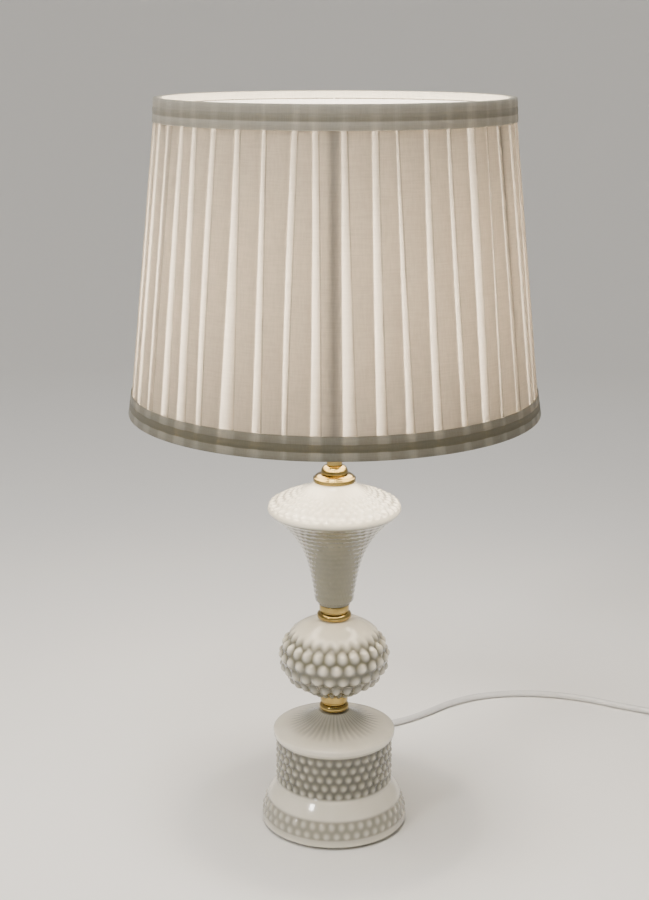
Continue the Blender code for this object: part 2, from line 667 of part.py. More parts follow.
# The cord's way over the standing surface, from the strain relief to the switch
RELIEF_Y = FOOT_R + GAP
RELIEF_TIP_Y = RELIEF_Y + RELIEF_FLANGE_T + RELIEF_LENGTH
SWITCH_HEADING = COIL_ENTRY - math.pi / 2
CORD_ROUTE = [
    (0.0, RELIEF_TIP_Y + GAP, EXIT_Z),
    (0.0, RELIEF_TIP_Y + 4 * MM, EXIT_Z),
    (0.001, 0.104, 0.0092),
    (0.006, 0.1205, 0.0050),
    (0.016, 0.1395, FLOOR_Z),
    (0.031, 0.161, FLOOR_Z),
    (0.051, 0.1775, FLOOR_Z),
    (0.075, 0.1915, FLOOR_Z),
    (0.096, 0.2085, FLOOR_Z),
    (0.119, 0.2290, FLOOR_Z),
    (0.148, 0.2455, FLOOR_Z),
    (0.183, 0.2535, FLOOR_Z),
    (0.220, 0.2520, FLOOR_Z),
    (0.257, 0.2410, FLOOR_Z),
    (0.291, 0.2235, FLOOR_Z),
]


def heading(angle):
    return Vector((math.cos(angle), math.sin(angle), 0))


def coil_point(turns, inward, start_angle, z):
    """A point on one layer of the coil, which winds clockwise seen from above."""
    across = 2 * CORD_R
    span = COIL_LOW_TURNS if inward else COIL_HIGH_TURNS
    r = COIL_OUTER_R - across * (turns if inward else span - turns)
    angle = start_angle - 2 * math.pi * turns
    return Vector((COIL_CENTRE[0] + r * math.cos(angle), COIL_CENTRE[1] + r * math.sin(angle), z))


COIL_JOIN = coil_point(0, True, COIL_ENTRY, FLOOR_Z)
SWITCH_CENTRE = COIL_JOIN - SWITCH_TO_COIL * heading(SWITCH_HEADING)
COIL_END_ANGLE = COIL_ENTRY - 2 * math.pi * (COIL_LOW_TURNS + COIL_HIGH_TURNS)
COIL_LEAVE = coil_point(COIL_HIGH_TURNS, False, COIL_ENTRY - 2 * math.pi * COIL_LOW_TURNS, 0.0)
TAIL_HEADING = COIL_END_ANGLE - math.pi / 2
# A straight lead touches the coil's outside this far before it joins the outer turn
LEAD_CLEAR = 2 * math.sqrt(COIL_OUTER_R * CORD_R) + 2 * GAP
PLUG_Z = PLUG_T / 2 + GAP


def make_relief(rubber):
    """The strain relief in the foot's wall: an inner lip, a barrel, a flange and a tapered sleeve."""
    bore = CORD_R + GAP
    wall_y = FOOT_R - CERAMIC_WALL
    lip_y = wall_y - 4 * MM
    barrel = RELIEF_Y - lip_y
    outline = [
        (bore, 0),
        (RELIEF_BARREL_R, 0),
        (RELIEF_BARREL_R, barrel),
        (RELIEF_FLANGE_R, barrel),
        (RELIEF_FLANGE_R, barrel + RELIEF_FLANGE_T),
        (RELIEF_FLANGE_R - MM, barrel + RELIEF_FLANGE_T),
        (RELIEF_TIP_R, barrel + RELIEF_FLANGE_T + RELIEF_LENGTH),
        (bore, barrel + RELIEF_FLANGE_T + RELIEF_LENGTH),
    ]
    turned_along("strain_relief", outline, rubber, 20, (0, lip_y, EXIT_Z), (0, 1, 0))


def make_inner_cable(jacket):
    """The cable from the strain relief through the foot and up the rod to the holder."""
    rise = ROD_Z - EXIT_Z
    route = [
        (0, RELIEF_TIP_Y, EXIT_Z),
        (0, 1.12 * FOOT_R, EXIT_Z),
        (0, 0.83 * FOOT_R, EXIT_Z),
        (0, 0.58 * FOOT_R, EXIT_Z + 0.04 * rise),
        (0, 0.34 * FOOT_R, EXIT_Z + 0.17 * rise),
        (0, 0.14 * FOOT_R, EXIT_Z + 0.38 * rise),
        (0, 0.03 * FOOT_R, EXIT_Z + 0.65 * rise),
        (0, 0, ROD_Z - 2 * MM),
        (0, 0, ROD_Z + 15 * MM),
    ]
    above_rod = 8 * MM
    points = smooth_path(route, 8 * MM) + [Vector((0, 0, ROD_TOP_Z + above_rod))]
    tube("inner_cable", points, CABLE_R, jacket)


def make_cord(jacket):
    """The free cord's stretches on both sides of the switch, its coil, and its tail to the plug."""
    along = heading(SWITCH_HEADING)
    half = SWITCH_LENGTH / 2 + GAP
    rise = Vector((0, 0, SWITCH_HALF_H - FLOOR_Z))
    near = SWITCH_CENTRE - along * half + rise
    run = CORD_ROUTE + [near - along * CORD_RAMP - rise * 0.8, near - along * CORD_STRAIGHT, near]
    tube("cord_run", smooth_path(run, CORD_STEP), CORD_R, jacket)
    far = SWITCH_CENTRE + along * half + rise
    lead_end = COIL_JOIN - along * LEAD_CLEAR
    lead = [far, far + along * CORD_STRAIGHT, far + along * CORD_RAMP - rise * 0.8, lead_end]
    tube("cord_lead", smooth_path(lead, CORD_STEP), CORD_R, jacket)
    inner_r = COIL_OUTER_R - 2 * CORD_R * COIL_LOW_TURNS - CORD_R
    outer_r = COIL_OUTER_R + CORD_R
    ring = turned("cord_coil", washer_outline(inner_r, outer_r, 4 * CORD_R), jacket, 32, GAP)
    ring.location = (*COIL_CENTRE, 0)
    away = heading(TAIL_HEADING)
    tail_end = COIL_LEAVE + away * (TAIL_LENGTH - PLUG_SLEEVE_LENGTH) + Vector((0, 0, PLUG_Z))
    tail = [
        COIL_LEAVE + away * LEAD_CLEAR + Vector((0, 0, 1.6 * FLOOR_Z)),
        tail_end - away * CORD_STRAIGHT,
        tail_end,
    ]
    tube("cord_tail", smooth_path(tail, CORD_STEP), CORD_R, jacket)


def switch_matrix(z):
    """The switch's frame: X along the cord, Z up, at height z."""
    return Matrix.Translation((SWITCH_CENTRE.x, SWITCH_CENTRE.y, z)) @ Matrix.Rotation(SWITCH_HEADING, 4, "Z")


def make_switch(plastic, rocker_plastic, steel):
    """The in-line switch: a lower and an upper half, a rocker and the pin that it rocks on."""
    outline = rounded_rectangle(SWITCH_LENGTH, SWITCH_WIDTH, SWITCH_CORNER)
    hollow = rounded_rectangle(
        SWITCH_LENGTH - 2 * SWITCH_WALL, SWITCH_WIDTH - 2 * SWITCH_WALL, SWITCH_CORNER - SWITCH_WALL
    )
    middle = SWITCH_HALF_H + GAP / 2
    for name, low, high, inner_low, inner_high in (
        ("switch_lower", 0, middle - GAP / 2, SWITCH_WALL, SWITCH_HALF_H + MM),
        ("switch_upper", middle + GAP / 2, 2 * SWITCH_HALF_H, SWITCH_HALF_H - MM, 2 * SWITCH_HALF_H - SWITCH_WALL),
    ):
        half = prism(name, outline, low, high, plastic)
        half.matrix_world = switch_matrix(GAP)
        space = prism(name + "_cutter", hollow, inner_low, inner_high, plastic)
        space.matrix_world = switch_matrix(GAP)
        cut(half, space)
        if name == "switch_upper":
            slot = rounded_rectangle(ROCKER_LENGTH + 2 * RUN, ROCKER_WIDTH + 2 * RUN, MM, 2)
            window = prism("rocker_slot_cutter", slot, middle, 3 * SWITCH_HALF_H, plastic)
            window.matrix_world = switch_matrix(GAP)
            cut(half, window)
    pivot_z = 2 * SWITCH_HALF_H - ROCKER_BARREL_R
    rocker = prism("switch_rocker", rocker_outline(), -ROCKER_WIDTH / 2, ROCKER_WIDTH / 2, rocker_plastic)
    upright = Matrix.Rotation(math.radians(90), 4, "X")
    tilt = Matrix.Rotation(ROCKER_TILT, 4, "Y")
    rocker.matrix_world = switch_matrix(pivot_z + GAP) @ tilt @ upright
    bore = turned("rocker_bore_cutter", [(0, -ROCKER_WIDTH), (ROCKER_PIN_R + RUN / 4, -ROCKER_WIDTH),
                                         (ROCKER_PIN_R + RUN / 4, ROCKER_WIDTH), (0, ROCKER_WIDTH)],
                  steel, 16)
    bore.matrix_world = switch_matrix(pivot_z + GAP) @ upright
    cut(rocker, bore)
    pin_half = SWITCH_WIDTH / 2 - SWITCH_WALL - GAP
    pin = turned("rocker_pin", [(0, -pin_half), (ROCKER_PIN_R, -pin_half), (ROCKER_PIN_R, pin_half), (0, pin_half)],
                 steel, 12)
    pin.matrix_world = switch_matrix(pivot_z + GAP) @ upright


def rocker_outline():
    """The rocker's side view about its pin: a barrel below and a shallow saddle above."""
    half = ROCKER_LENGTH / 2
    top = ROCKER_BARREL_R + ROCKER_RISE
    barrel = arc((0, 0), (ROCKER_BARREL_R, ROCKER_BARREL_R), -180, 0, 7)
    dip = 0.6 * ROCKER_RISE
    return barrel + [
        (half - 1.5 * MM, 0.35 * ROCKER_BARREL_R),
        (half - 1.0 * MM, top - 0.5 * MM),
        (half - 1.8 * MM, top),
        (0, top - dip),
        (-half + 1.8 * MM, top),
        (-half + 1.0 * MM, top - 0.5 * MM),
        (-half + 1.5 * MM, 0.35 * ROCKER_BARREL_R),
    ]


def make_plug(plastic, rubber, steel):
    """The flat two-pin plug: its sleeve, its body and its pins."""
    away = heading(TAIL_HEADING)
    start = COIL_LEAVE + away * (TAIL_LENGTH - PLUG_SLEEVE_LENGTH + GAP) + Vector((0, 0, PLUG_Z))
    sleeve = [(0, 0), (RELIEF_TIP_R, 0), (PLUG_SLEEVE_R, PLUG_SLEEVE_LENGTH), (0, PLUG_SLEEVE_LENGTH)]
    turned_along("plug_sleeve", sleeve, rubber, 16, start, away)
    body_start = start + away * (PLUG_SLEEVE_LENGTH + GAP)
    shoulder = 0.55 * PLUG_LENGTH
    side = [
        (0, PLUG_BACK_WIDTH / 2),
        (shoulder, PLUG_WIDTH / 2),
        (PLUG_LENGTH, PLUG_WIDTH / 2),
        (PLUG_LENGTH, -PLUG_WIDTH / 2),
        (shoulder, -PLUG_WIDTH / 2),
        (0, -PLUG_BACK_WIDTH / 2),
    ]
    body = prism("plug_body", side, -PLUG_T / 2, PLUG_T / 2, plastic)
    body.matrix_world = Matrix.Translation(body_start) @ Matrix.Rotation(TAIL_HEADING, 4, "Z")
    bevel = body.modifiers.new("edges", "BEVEL")
    bevel.width = 2.5 * MM
    bevel.segments = 2
    across = heading(TAIL_HEADING + math.pi / 2)
    for name, side_sign in (("plug_pin_left", 1), ("plug_pin_right", -1)):
        foot = body_start + away * (PLUG_LENGTH + GAP) + across * side_sign * PIN_SPACING / 2
        pin = [(0, 0), (PIN_R, 0), (PIN_R, PIN_LENGTH - MM), (PIN_R - MM, PIN_LENGTH), (0, PIN_LENGTH)]
        turned_along(name, pin, steel, 12, foot, away)


def main():
    for old in list(bpy.data.objects):
        bpy.data.objects.remove(old)
    ceramic = material("cream ceramic glaze", (0.80, 0.76, 0.68), 0.12)
    brass = material("polished brass", (0.86, 0.62, 0.26), 0.16, 1.0)
    steel = material("zinc plated steel", (0.62, 0.62, 0.63), 0.30, 1.0)
    wire = material("white painted wire", (0.85, 0.84, 0.81), 0.40)
    fabric = material("ivory pleated cloth", (0.84, 0.79, 0.71), 0.85)
    lining = material("white lining", (0.92, 0.91, 0.88), 0.70)
    ribbon = material("ivory satin ribbon", (0.60, 0.57, 0.50), 0.45)
    holder_plastic = material("white holder plastic", (0.88, 0.87, 0.84), 0.35)
    porcelain = material("porcelain", (0.90, 0.89, 0.86), 0.25)
    glass = material("opal glass", (0.95, 0.93, 0.88), 0.20)
    jacket = material("pale grey cord", (0.62, 0.62, 0.62), 0.50)
    rubber = material("pale grey rubber", (0.58, 0.58, 0.58), 0.60)
    cord_plastic = material("white switch plastic", (0.86, 0.86, 0.85), 0.38)
    rocker_plastic = material("grey rocker plastic", (0.70, 0.70, 0.69), 0.38)
    felt = material("grey felt", (0.20, 0.19, 0.18), 0.95)

    make_base(ceramic, felt, steel)
    make_rod(steel)
    make_collars(brass)
    make_ball(ceramic)
    make_trumpet(ceramic)
    make_caps(brass)
    make_holder(holder_plastic, porcelain, brass)
    make_bulb(glass, holder_plastic, steel, porcelain)
    make_fitter(wire, brass, porcelain)
    make_shade_frame(wire)
    make_shade_cloth(fabric, lining, ribbon)
    make_relief(rubber)
    make_inner_cable(jacket)
    make_cord(jacket)
    make_switch(cord_plastic, rocker_plastic, steel)
    make_plug(cord_plastic, rubber, steel)


main()
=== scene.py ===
"""Looks of the lit table lamp: hobnailed ceramic column, brass collars, pleated shade and mains cord.

Metres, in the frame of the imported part: +Z up, the front is -Y, the lamp stands on z = 0.
"""

import math
import random
from math import cos, pi, radians, sin

import bmesh
import bpy
import numpy as np
from mathutils import Matrix, Vector


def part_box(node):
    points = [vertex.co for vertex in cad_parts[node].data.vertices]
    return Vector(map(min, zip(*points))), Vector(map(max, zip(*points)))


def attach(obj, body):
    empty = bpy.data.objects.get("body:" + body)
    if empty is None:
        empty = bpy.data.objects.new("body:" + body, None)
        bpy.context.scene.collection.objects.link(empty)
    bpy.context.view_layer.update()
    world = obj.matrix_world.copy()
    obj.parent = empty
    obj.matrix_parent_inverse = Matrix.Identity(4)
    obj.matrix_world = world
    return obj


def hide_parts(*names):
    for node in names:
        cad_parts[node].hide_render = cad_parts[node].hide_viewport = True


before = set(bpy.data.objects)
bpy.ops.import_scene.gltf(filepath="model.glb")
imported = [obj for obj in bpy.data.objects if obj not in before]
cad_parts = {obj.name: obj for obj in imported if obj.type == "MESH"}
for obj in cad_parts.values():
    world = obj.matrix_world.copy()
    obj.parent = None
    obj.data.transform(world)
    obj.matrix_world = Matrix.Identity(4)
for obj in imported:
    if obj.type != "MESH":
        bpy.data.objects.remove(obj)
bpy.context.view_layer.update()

MM = 0.001
TAU = 2 * pi
FRONT = -pi / 2

# Camera
CAMERA_AT = (-0.0082, -1.2414, 0.6597)
CAMERA_PITCH = radians(75.143)
CAMERA_LENS = 62.59

# Mains cord: its way over the table to the switch, then its coil
CORD_D = 6.2 * MM
COIL_LOW_TURNS = 2.7
COIL_HIGH_TURNS = 2.5
COIL_ENTRY = radians(60)
COIL_CLIMB = 0.4  # of a turn, on both sides of the change of layer
COIL_RUN_IN = 44.5 * MM
TAIL_LENGTH = 57 * MM
CORD_ROUTE = [
    (0.0, 0.0901, 0.0120),
    (0.0, 0.0938, 0.0120),
    (0.001, 0.104, 0.0092),
    (0.006, 0.1205, 0.0050),
]
CORD_ROUTE += [(x, y, 0.0034) for x, y in (
    (0.016, 0.1395), (0.031, 0.161), (0.051, 0.1775), (0.075, 0.1915), (0.096, 0.2085), (0.119, 0.2290),
    (0.148, 0.2455), (0.183, 0.2535), (0.220, 0.2520), (0.257, 0.2410), (0.291, 0.2235))]

# Ceramic column: heights of the rows of studs, where their relief fades out, and how deep it goes
FOOT_ROWS = (12.0 * MM, 19.6 * MM)
FOOT_STUDS = 45
FOOT_BAND = (9.5 * MM, 22.5 * MM)
FOOT_DEPTH = 1.2 * MM
DRUM_ROWS = tuple((42.0 + 7.6 * i) * MM for i in range(5))
DRUM_STUDS = 38
DRUM_BAND = (40.5 * MM, 75.5 * MM)
DRUM_DEPTH = 1.8 * MM
FLUTES = 38
FLUTE_RADII = (16 * MM, 33 * MM)
FLUTE_DEPTH = 0.45 * MM
LIP_TOP = 84 * MM  # the cone's top face starts above it
BALL_ROWS = tuple(z * MM for z in (118.5, 129.8, 141.6, 153.3, 164.2, 173.6))
BALL_STUDS = 25
BALL_TURN = radians(5.8)
BALL_BAND = (122 * MM, 170 * MM)
BALL_DEPTH = 3.0 * MM
FLARE_PITCH = 4.5 * MM
FLARE_ROWS = tuple(204.5 * MM + FLARE_PITCH * i for i in range(17))
FLARE_BAND = (206 * MM, 275 * MM)
FLARE_DEPTH = 0.7 * MM
RIM_STUDS = 39
DISC_FIRST_R = 53.2 * MM
DISC_SHRINK = 0.862  # each row's radius, as a share of the row outside it
DISC_EDGE = (283.0 * MM, 285.5 * MM)  # heights between which the disc's relief begins
DISC_DEPTH = 1.5 * MM
ROD_R = 5.3 * MM

# Holder, bulb and ring nut
LAMP_PITCH = 3.63 * MM
RING_PITCH = 2.5 * MM
GRIP_RIBS = 48

# Shade
PLEATS = 45
PLEAT_RISE = 1.2 * MM
PLEAT_UNDER = 0.69  # of a pleat's width is folded under it
# Painted shade across each pleat: at these shares of the single cloth from the last crease, then of the
# folded cloth, how dark its painted shade (tone) is
SINGLE_PAINTED_SHADE = ((0.0, 0.30), (0.25, 0.48), (0.6, 0.74), (0.98, 0.92))  # share of the single cloth, tone
FOLDED_PAINTED_SHADE = ((0.03, 0.0), (0.3, 0.02), (0.6, 0.06), (0.85, 0.13), (1.0, 0.20))  # of the folded cloth
TRIM_ROLL = [(1.0, 0.12), (0.2, 0.02), (-3.4, 0.02), (-4.9, 0.3), (-5.2, 1.4), (-5.2, 6.2)]  # millimetres
TRIM_BACK = [(-4.8, 6.2), (-4.8, 1.5), (-4.2, 0.4), (0.1, 0.26), (0.35, 1.2)]
WIRE_INSET = 3.0 * MM  # from the cover's face to the middle of its wires
STRUTS = 6
ARMS = 3

# Switch and plug
SWITCH_SIZE = (62 * MM, 25 * MM, 9 * MM)  # length, width and corner radius
WINDOW_SIZE = (20.8 * MM, 11.8 * MM, 1.4 * MM)
SWITCH_GAP = 0.3 * MM
ROCKER_PIVOT_Z = 15.1 * MM
ROCKER_TILT = radians(8)
CLAMP_LENGTH = 18 * MM  # of cord that rises to the switch
SLEEVE_LENGTH = 18 * MM
PLUG_LENGTH = 34 * MM
PIN_SPREAD = 9.5 * MM
PLUG_SECTIONS = [  # millimetres along the plug, its width and its height there
    (0, 15.5, 9.5), (0.6, 17.5, 11.8), (2.0, 18.6, 13.0), (6, 21.2, 13.5), (12, 26.0, 13.6),
    (18, 31.5, 13.6), (23, 33.6, 13.6), (31, 34.0, 13.6), (33.2, 33.4, 13.2), (34, 31.8, 11.8),
]

# Light
BULB_GLOW = 780.0
FLOOR_COLOUR = (0.82, 0.81, 0.79)
WORLD_STRENGTH = 0.26
STUDIO_LAMPS = [  # name, place, size and watts
    ("overhead", (-0.3, -0.5, 2.5), 0.9, 60),
    ("side", (-1.5, -1.5, 1.7), 0.35, 20),
]


# ---- materials


class Finish:
    """A material of one Principled shader and the textures that drive it."""

    def __init__(self, slot, colour, roughness, **values):
        self.material = bpy.data.materials.new(slot)
        self.material.use_nodes = True
        self.tree = self.material.node_tree
        self.shader = self.tree.nodes["Principled BSDF"]
        self.shader.inputs["Base Color"].default_value = (*colour, 1)
        self.shader.inputs["Roughness"].default_value = roughness
        for name, value in values.items():
            self.shader.inputs[name.replace("_", " ")].default_value = value

    def add(self, kind, inputs=(), **settings):
        """A new node, with its settings made and its inputs filled from values or other nodes' outputs."""
        node = self.tree.nodes.new("ShaderNode" + kind)
        for name, value in settings.items():
            setattr(node, name, value)
        for name, value in dict(inputs).items():
            if isinstance(value, bpy.types.NodeSocket):
                self.tree.links.new(value, node.inputs[name])
            else:
                node.inputs[name].default_value = value
        return node

    def noise(self, scale, detail, stretch=(1, 1, 1)):
        """Noise in the lamp's own coordinates, with this many grains to the metre along each axis."""
        place = self.add("TexCoord").outputs["Object"]
        mapped = self.add("Mapping", {"Vector": place, "Scale": stretch}).outputs[0]
        return self.add("TexNoise", {"Vector": mapped, "Scale": scale, "Detail": detail}).outputs["Fac"]

    def attribute(self, name):
        return self.add("Attribute", attribute_name=name).outputs["Fac"]

    def roughen(self, share, low, high):
        """Roughness from low to high as share goes from 0 to 1."""
        inputs = {"Value": share, "To Min": low, "To Max": high}
        self.drive("Roughness", self.add("MapRange", inputs).outputs["Result"])

    def two_colours(self, share, one, other, start=0.3, end=0.7):
        """A colour from one at share start to other at share end."""
        ramp = self.add("ValToRGB", {"Fac": share})
        for stop, at, colour in zip(ramp.color_ramp.elements, (start, end), (one, other)):
            stop.position = at
            stop.color = (*colour, 1)
        return ramp.outputs["Color"]

    def blend(self, share, one, other):
        """Two colours or colour outputs mixed by share."""
        one, other = [(*colour, 1) if isinstance(colour, tuple) else colour for colour in (one, other)]
        return self.add("Mix", {0: share, 6: one, 7: other}, data_type="RGBA").outputs[2]

    def times(self, one, other):
        """Two colour outputs multiplied."""
        return self.add("Mix", {0: 1, 6: one, 7: other}, data_type="RGBA", blend_type="MULTIPLY").outputs[2]

    def drive(self, socket, source):
        self.tree.links.new(source, self.shader.inputs[socket])

    def bump(self, height, distance, strength):
        """Bumps of this height map, this many metres high."""
        inputs = {"Height": height, "Distance": distance, "Strength": strength}
        self.drive("Normal", self.add("Bump", inputs).outputs["Normal"])

    def glow_through(self, colour, share):
        """Lets light through as thin cloth does: this share of what meets it comes out behind."""
        behind = self.add("BsdfTranslucent", {"Color": colour}).outputs[0]
        mix = self.add("MixShader", {"Fac": share, 1: self.shader.outputs[0], 2: behind})
        self.tree.links.new(mix.outputs[0], self.tree.nodes["Material Output"].inputs["Surface"])


def glaze():
    """Cream glaze, darker and greener between the studs, partly pooled glaze and partly painted shade, and
    with more painted shade where its tone is 1.
    """
    made = Finish("ceramic_glaze", (0.82, 0.77, 0.65), 0.14, Coat_Weight=1.0, Coat_Roughness=0.03)
    cream = made.two_colours(made.noise(38, 4), (0.79, 0.745, 0.62), (0.86, 0.815, 0.70))
    # pooled glaze and painted shade in the recesses between the studs, nearly black at the deepest
    pooled_and_recess_shade = made.blend(made.attribute("relief"), cream, (0.095, 0.09, 0.055))
    # painted shade: the glaze is darkened where the tone attribute is 1
    shaded = made.blend(made.attribute("tone"), (1, 1, 1), (0.15, 0.15, 0.105))
    made.drive("Base Color", made.times(pooled_and_recess_shade, shaded))
    made.roughen(made.noise(60, 3), 0.10, 0.24)
    made.bump(made.noise(150, 2), 0.12 * MM, 0.3)
    return made


def brass():
    """Polished brass with fine turning marks and a faint tarnish."""
    made = Finish("brass", (0.34, 0.24, 0.08), 0.10, Metallic=1.0)
    tone = made.two_colours(made.noise(90, 3), (0.20, 0.14, 0.04), (0.40, 0.29, 0.10), 0.25, 0.6)
    made.drive("Base Color", tone)
    marks = made.noise(900, 2, (0.12, 0.12, 4.0))
    made.roughen(marks, 0.04, 0.12)
    made.bump(marks, 0.012 * MM, 0.4)
    return made


def metal(slot, colour, roughness):
    """Plated or plain metal with a cloudy finish."""
    made = Finish(slot, colour, roughness, Metallic=1.0)
    darker = tuple(0.78 * part for part in colour)
    made.drive("Base Color", made.two_colours(made.noise(260, 4), darker, colour))
    made.roughen(made.noise(420, 3), 0.7 * roughness, 1.5 * roughness)
    return made


def moulded(slot, colour, roughness, grain=0.02 * MM):
    """Moulded plastic, rubber or porcelain: fine grain, small changes of tone and of gloss."""
    made = Finish(slot, colour, roughness)
    darker = tuple(0.90 * part for part in colour)
    made.drive("Base Color", made.two_colours(made.noise(70, 5), darker, colour))
    made.roughen(made.noise(500, 2), 0.8 * roughness, 1.25 * roughness)
    made.bump(made.noise(1800, 2), grain, 0.6)
    return made


def cloth(slot, colour, through, share, threads, grain, shadow=(1, 1, 1), dimmed=(1, 1, 1)):
    """Cloth with slubs along its threads, which lets the lamp's light through. Its tone attribute is painted
    shade: where it is 1, its colour is multiplied by shadow and the light through it by dimmed."""
    made = Finish(slot, colour, 0.82, Sheen_Weight=0.25, Sheen_Roughness=0.5)
    upright = made.noise(threads, 3, (1, 1, 0.05))
    level = made.noise(threads, 3, (0.08, 0.08, 1))
    weave = made.add("Math", {0: upright, 1: level}, operation="ADD").outputs[0]
    halved = made.add("Math", {0: weave, 1: 0.5}, operation="MULTIPLY").outputs[0]

    def woven(tint, dark):
        """tint with darker threads, multiplied by dark where the tone is 1: painted shade."""
        darker = tuple(0.88 * part for part in tint)
        threaded = made.two_colours(halved, darker, tint, 0.38, 0.6)
        return made.times(threaded, made.blend(made.attribute("tone"), (1, 1, 1), dark))

    made.drive("Base Color", woven(colour, shadow))
    made.glow_through(woven(through, dimmed), share)
    made.roughen(halved, 0.70, 0.95)
    made.bump(halved, grain, 0.7)
    return made


def felt():
    made = Finish("felt", (0.17, 0.16, 0.15), 0.95, Sheen_Weight=0.4)
    fuzz = made.noise(1400, 5)
    made.drive("Base Color", made.two_colours(fuzz, (0.09, 0.085, 0.08), (0.24, 0.23, 0.21)))
    made.roughen(fuzz, 0.85, 1.0)
    made.bump(fuzz, 0.3 * MM, 0.9)
    return made


def opal():
    """Opal glass over the diodes, alight."""
    made = Finish("opal_glass", (0.93, 0.91, 0.86), 0.22)
    made.shader.inputs["Emission Color"].default_value = (1.0, 0.87, 0.71, 1)
    made.shader.inputs["Emission Strength"].default_value = BULB_GLOW
    made.roughen(made.noise(200, 2), 0.15, 0.30)
    return made


MOULDED = {
    "holder_plastic": ((0.80, 0.79, 0.75), 0.38),
    "porcelain": ((0.82, 0.81, 0.78), 0.22, 0.01 * MM),
    "washer_plastic": ((0.78, 0.77, 0.74), 0.45),
    "wire": ((0.80, 0.79, 0.76), 0.36),
    "cord_jacket": ((0.60, 0.60, 0.60), 0.42),
    "grey_rubber": ((0.52, 0.52, 0.52), 0.58),
    "switch_plastic": ((0.78, 0.78, 0.77), 0.36),
    "rocker_plastic": ((0.62, 0.62, 0.61), 0.36),
}
FINISHES = {
    "ceramic_glaze": glaze(),
    "brass": brass(),
    "steel": metal("steel", (0.62, 0.62, 0.63), 0.28),
    "felt": felt(),
    "opal_glass": opal(),
    # The last two colours of a cloth are its painted shade, on its colour and on the light through it.
    "pleated_fabric": cloth("pleated_fabric", (0.80, 0.74, 0.64), (0.98, 0.93, 0.85), 0.70, 900, 0.08 * MM,
                            (0.57, 0.56, 0.55), (0.14, 0.125, 0.105)),
    "lining": cloth("lining", (0.94, 0.93, 0.90), (0.98, 0.97, 0.95), 0.42, 1500, 0.02 * MM),
    "ribbon": cloth("ribbon", (0.78, 0.75, 0.67), (0.92, 0.89, 0.81), 0.50, 1300, 0.05 * MM,
                    (0.26, 0.25, 0.195), (0.30, 0.285, 0.22)),
}
FINISHES.update((slot, moulded(slot, *look)) for slot, look in MOULDED.items())


# ---- making meshes


def add_object(name, data):
    """A new object in the scene."""
    made = bpy.data.objects.new(name, data)
    bpy.context.scene.collection.objects.link(made)
    return made


def add_piece(name, points, faces, slot, body, *replaced):
    """A mesh piece with its slot's finish, which rides on a body and stands for CAD nodes."""
    mesh = bpy.data.meshes.new(name)
    mesh.from_pydata(points, [], faces)
    mesh.shade_smooth()
    mesh.set_sharp_from_angle(angle=radians(38))
    return settle(name, mesh, slot, body, *replaced)


def settle(name, data, slot, body, *replaced):
    data.materials.append(FINISHES[slot].material)
    piece = add_object(name, data)
    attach(piece, body)
    if replaced:
        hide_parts(*replaced)
    return piece


def arc(centre, radius, start, end, count=7, rise=None):
    """Points (r, z) on an arc, angles in degrees. rise is its other radius, where it's an ellipse's."""
    turns = [radians(start + (end - start) * i / (count - 1)) for i in range(count)]
    return [(centre[0] + radius * cos(a), centre[1] + (rise or radius) * sin(a)) for a in turns]


def low_corner(r, z, edge, count=5):
    """A rounded lower edge of an outline, which starts at height z."""
    return arc((r - edge, z + edge), edge, -90, 0, count)


def high_corner(r, z, edge, count=5):
    """A rounded upper edge of an outline, which ends at height z."""
    return arc((r - edge, z - edge), edge, 0, 90, count)


def wall(r, low, high, steps):
    """An upright line of points."""
    return [(r, low + (high - low) * i / steps) for i in range(steps + 1)]


def bore(r, low, high):
    """The inside of a round hole, downwards."""
    return [(r, high), (r, low)]


def rounded_side(radius, low, high, edge):
    """The outside of a short cylinder with rounded edges, bottom to top."""
    return low_corner(radius, low, edge) + high_corner(radius, high, edge)


def smooth(points, step):
    """Points about step apart on a smooth curve through these points."""
    points = [np.array(p, float) for p in points]
    ends = [2 * points[0] - points[1]] + points + [2 * points[-1] - points[-2]]
    fine = [points[0]]
    for before, a, b, after in zip(ends, ends[1:], ends[2:], ends[3:]):
        pieces = max(1, round(float(np.linalg.norm(b - a)) / step))
        for i in range(1, pieces + 1):
            t = i / pieces
            cubic = (3 * a - before - 3 * b + after) * t**3
            square = (2 * before - 5 * a + 4 * b - after) * t**2
            fine.append(0.5 * (2 * a + (b - before) * t + square + cubic))
    return fine


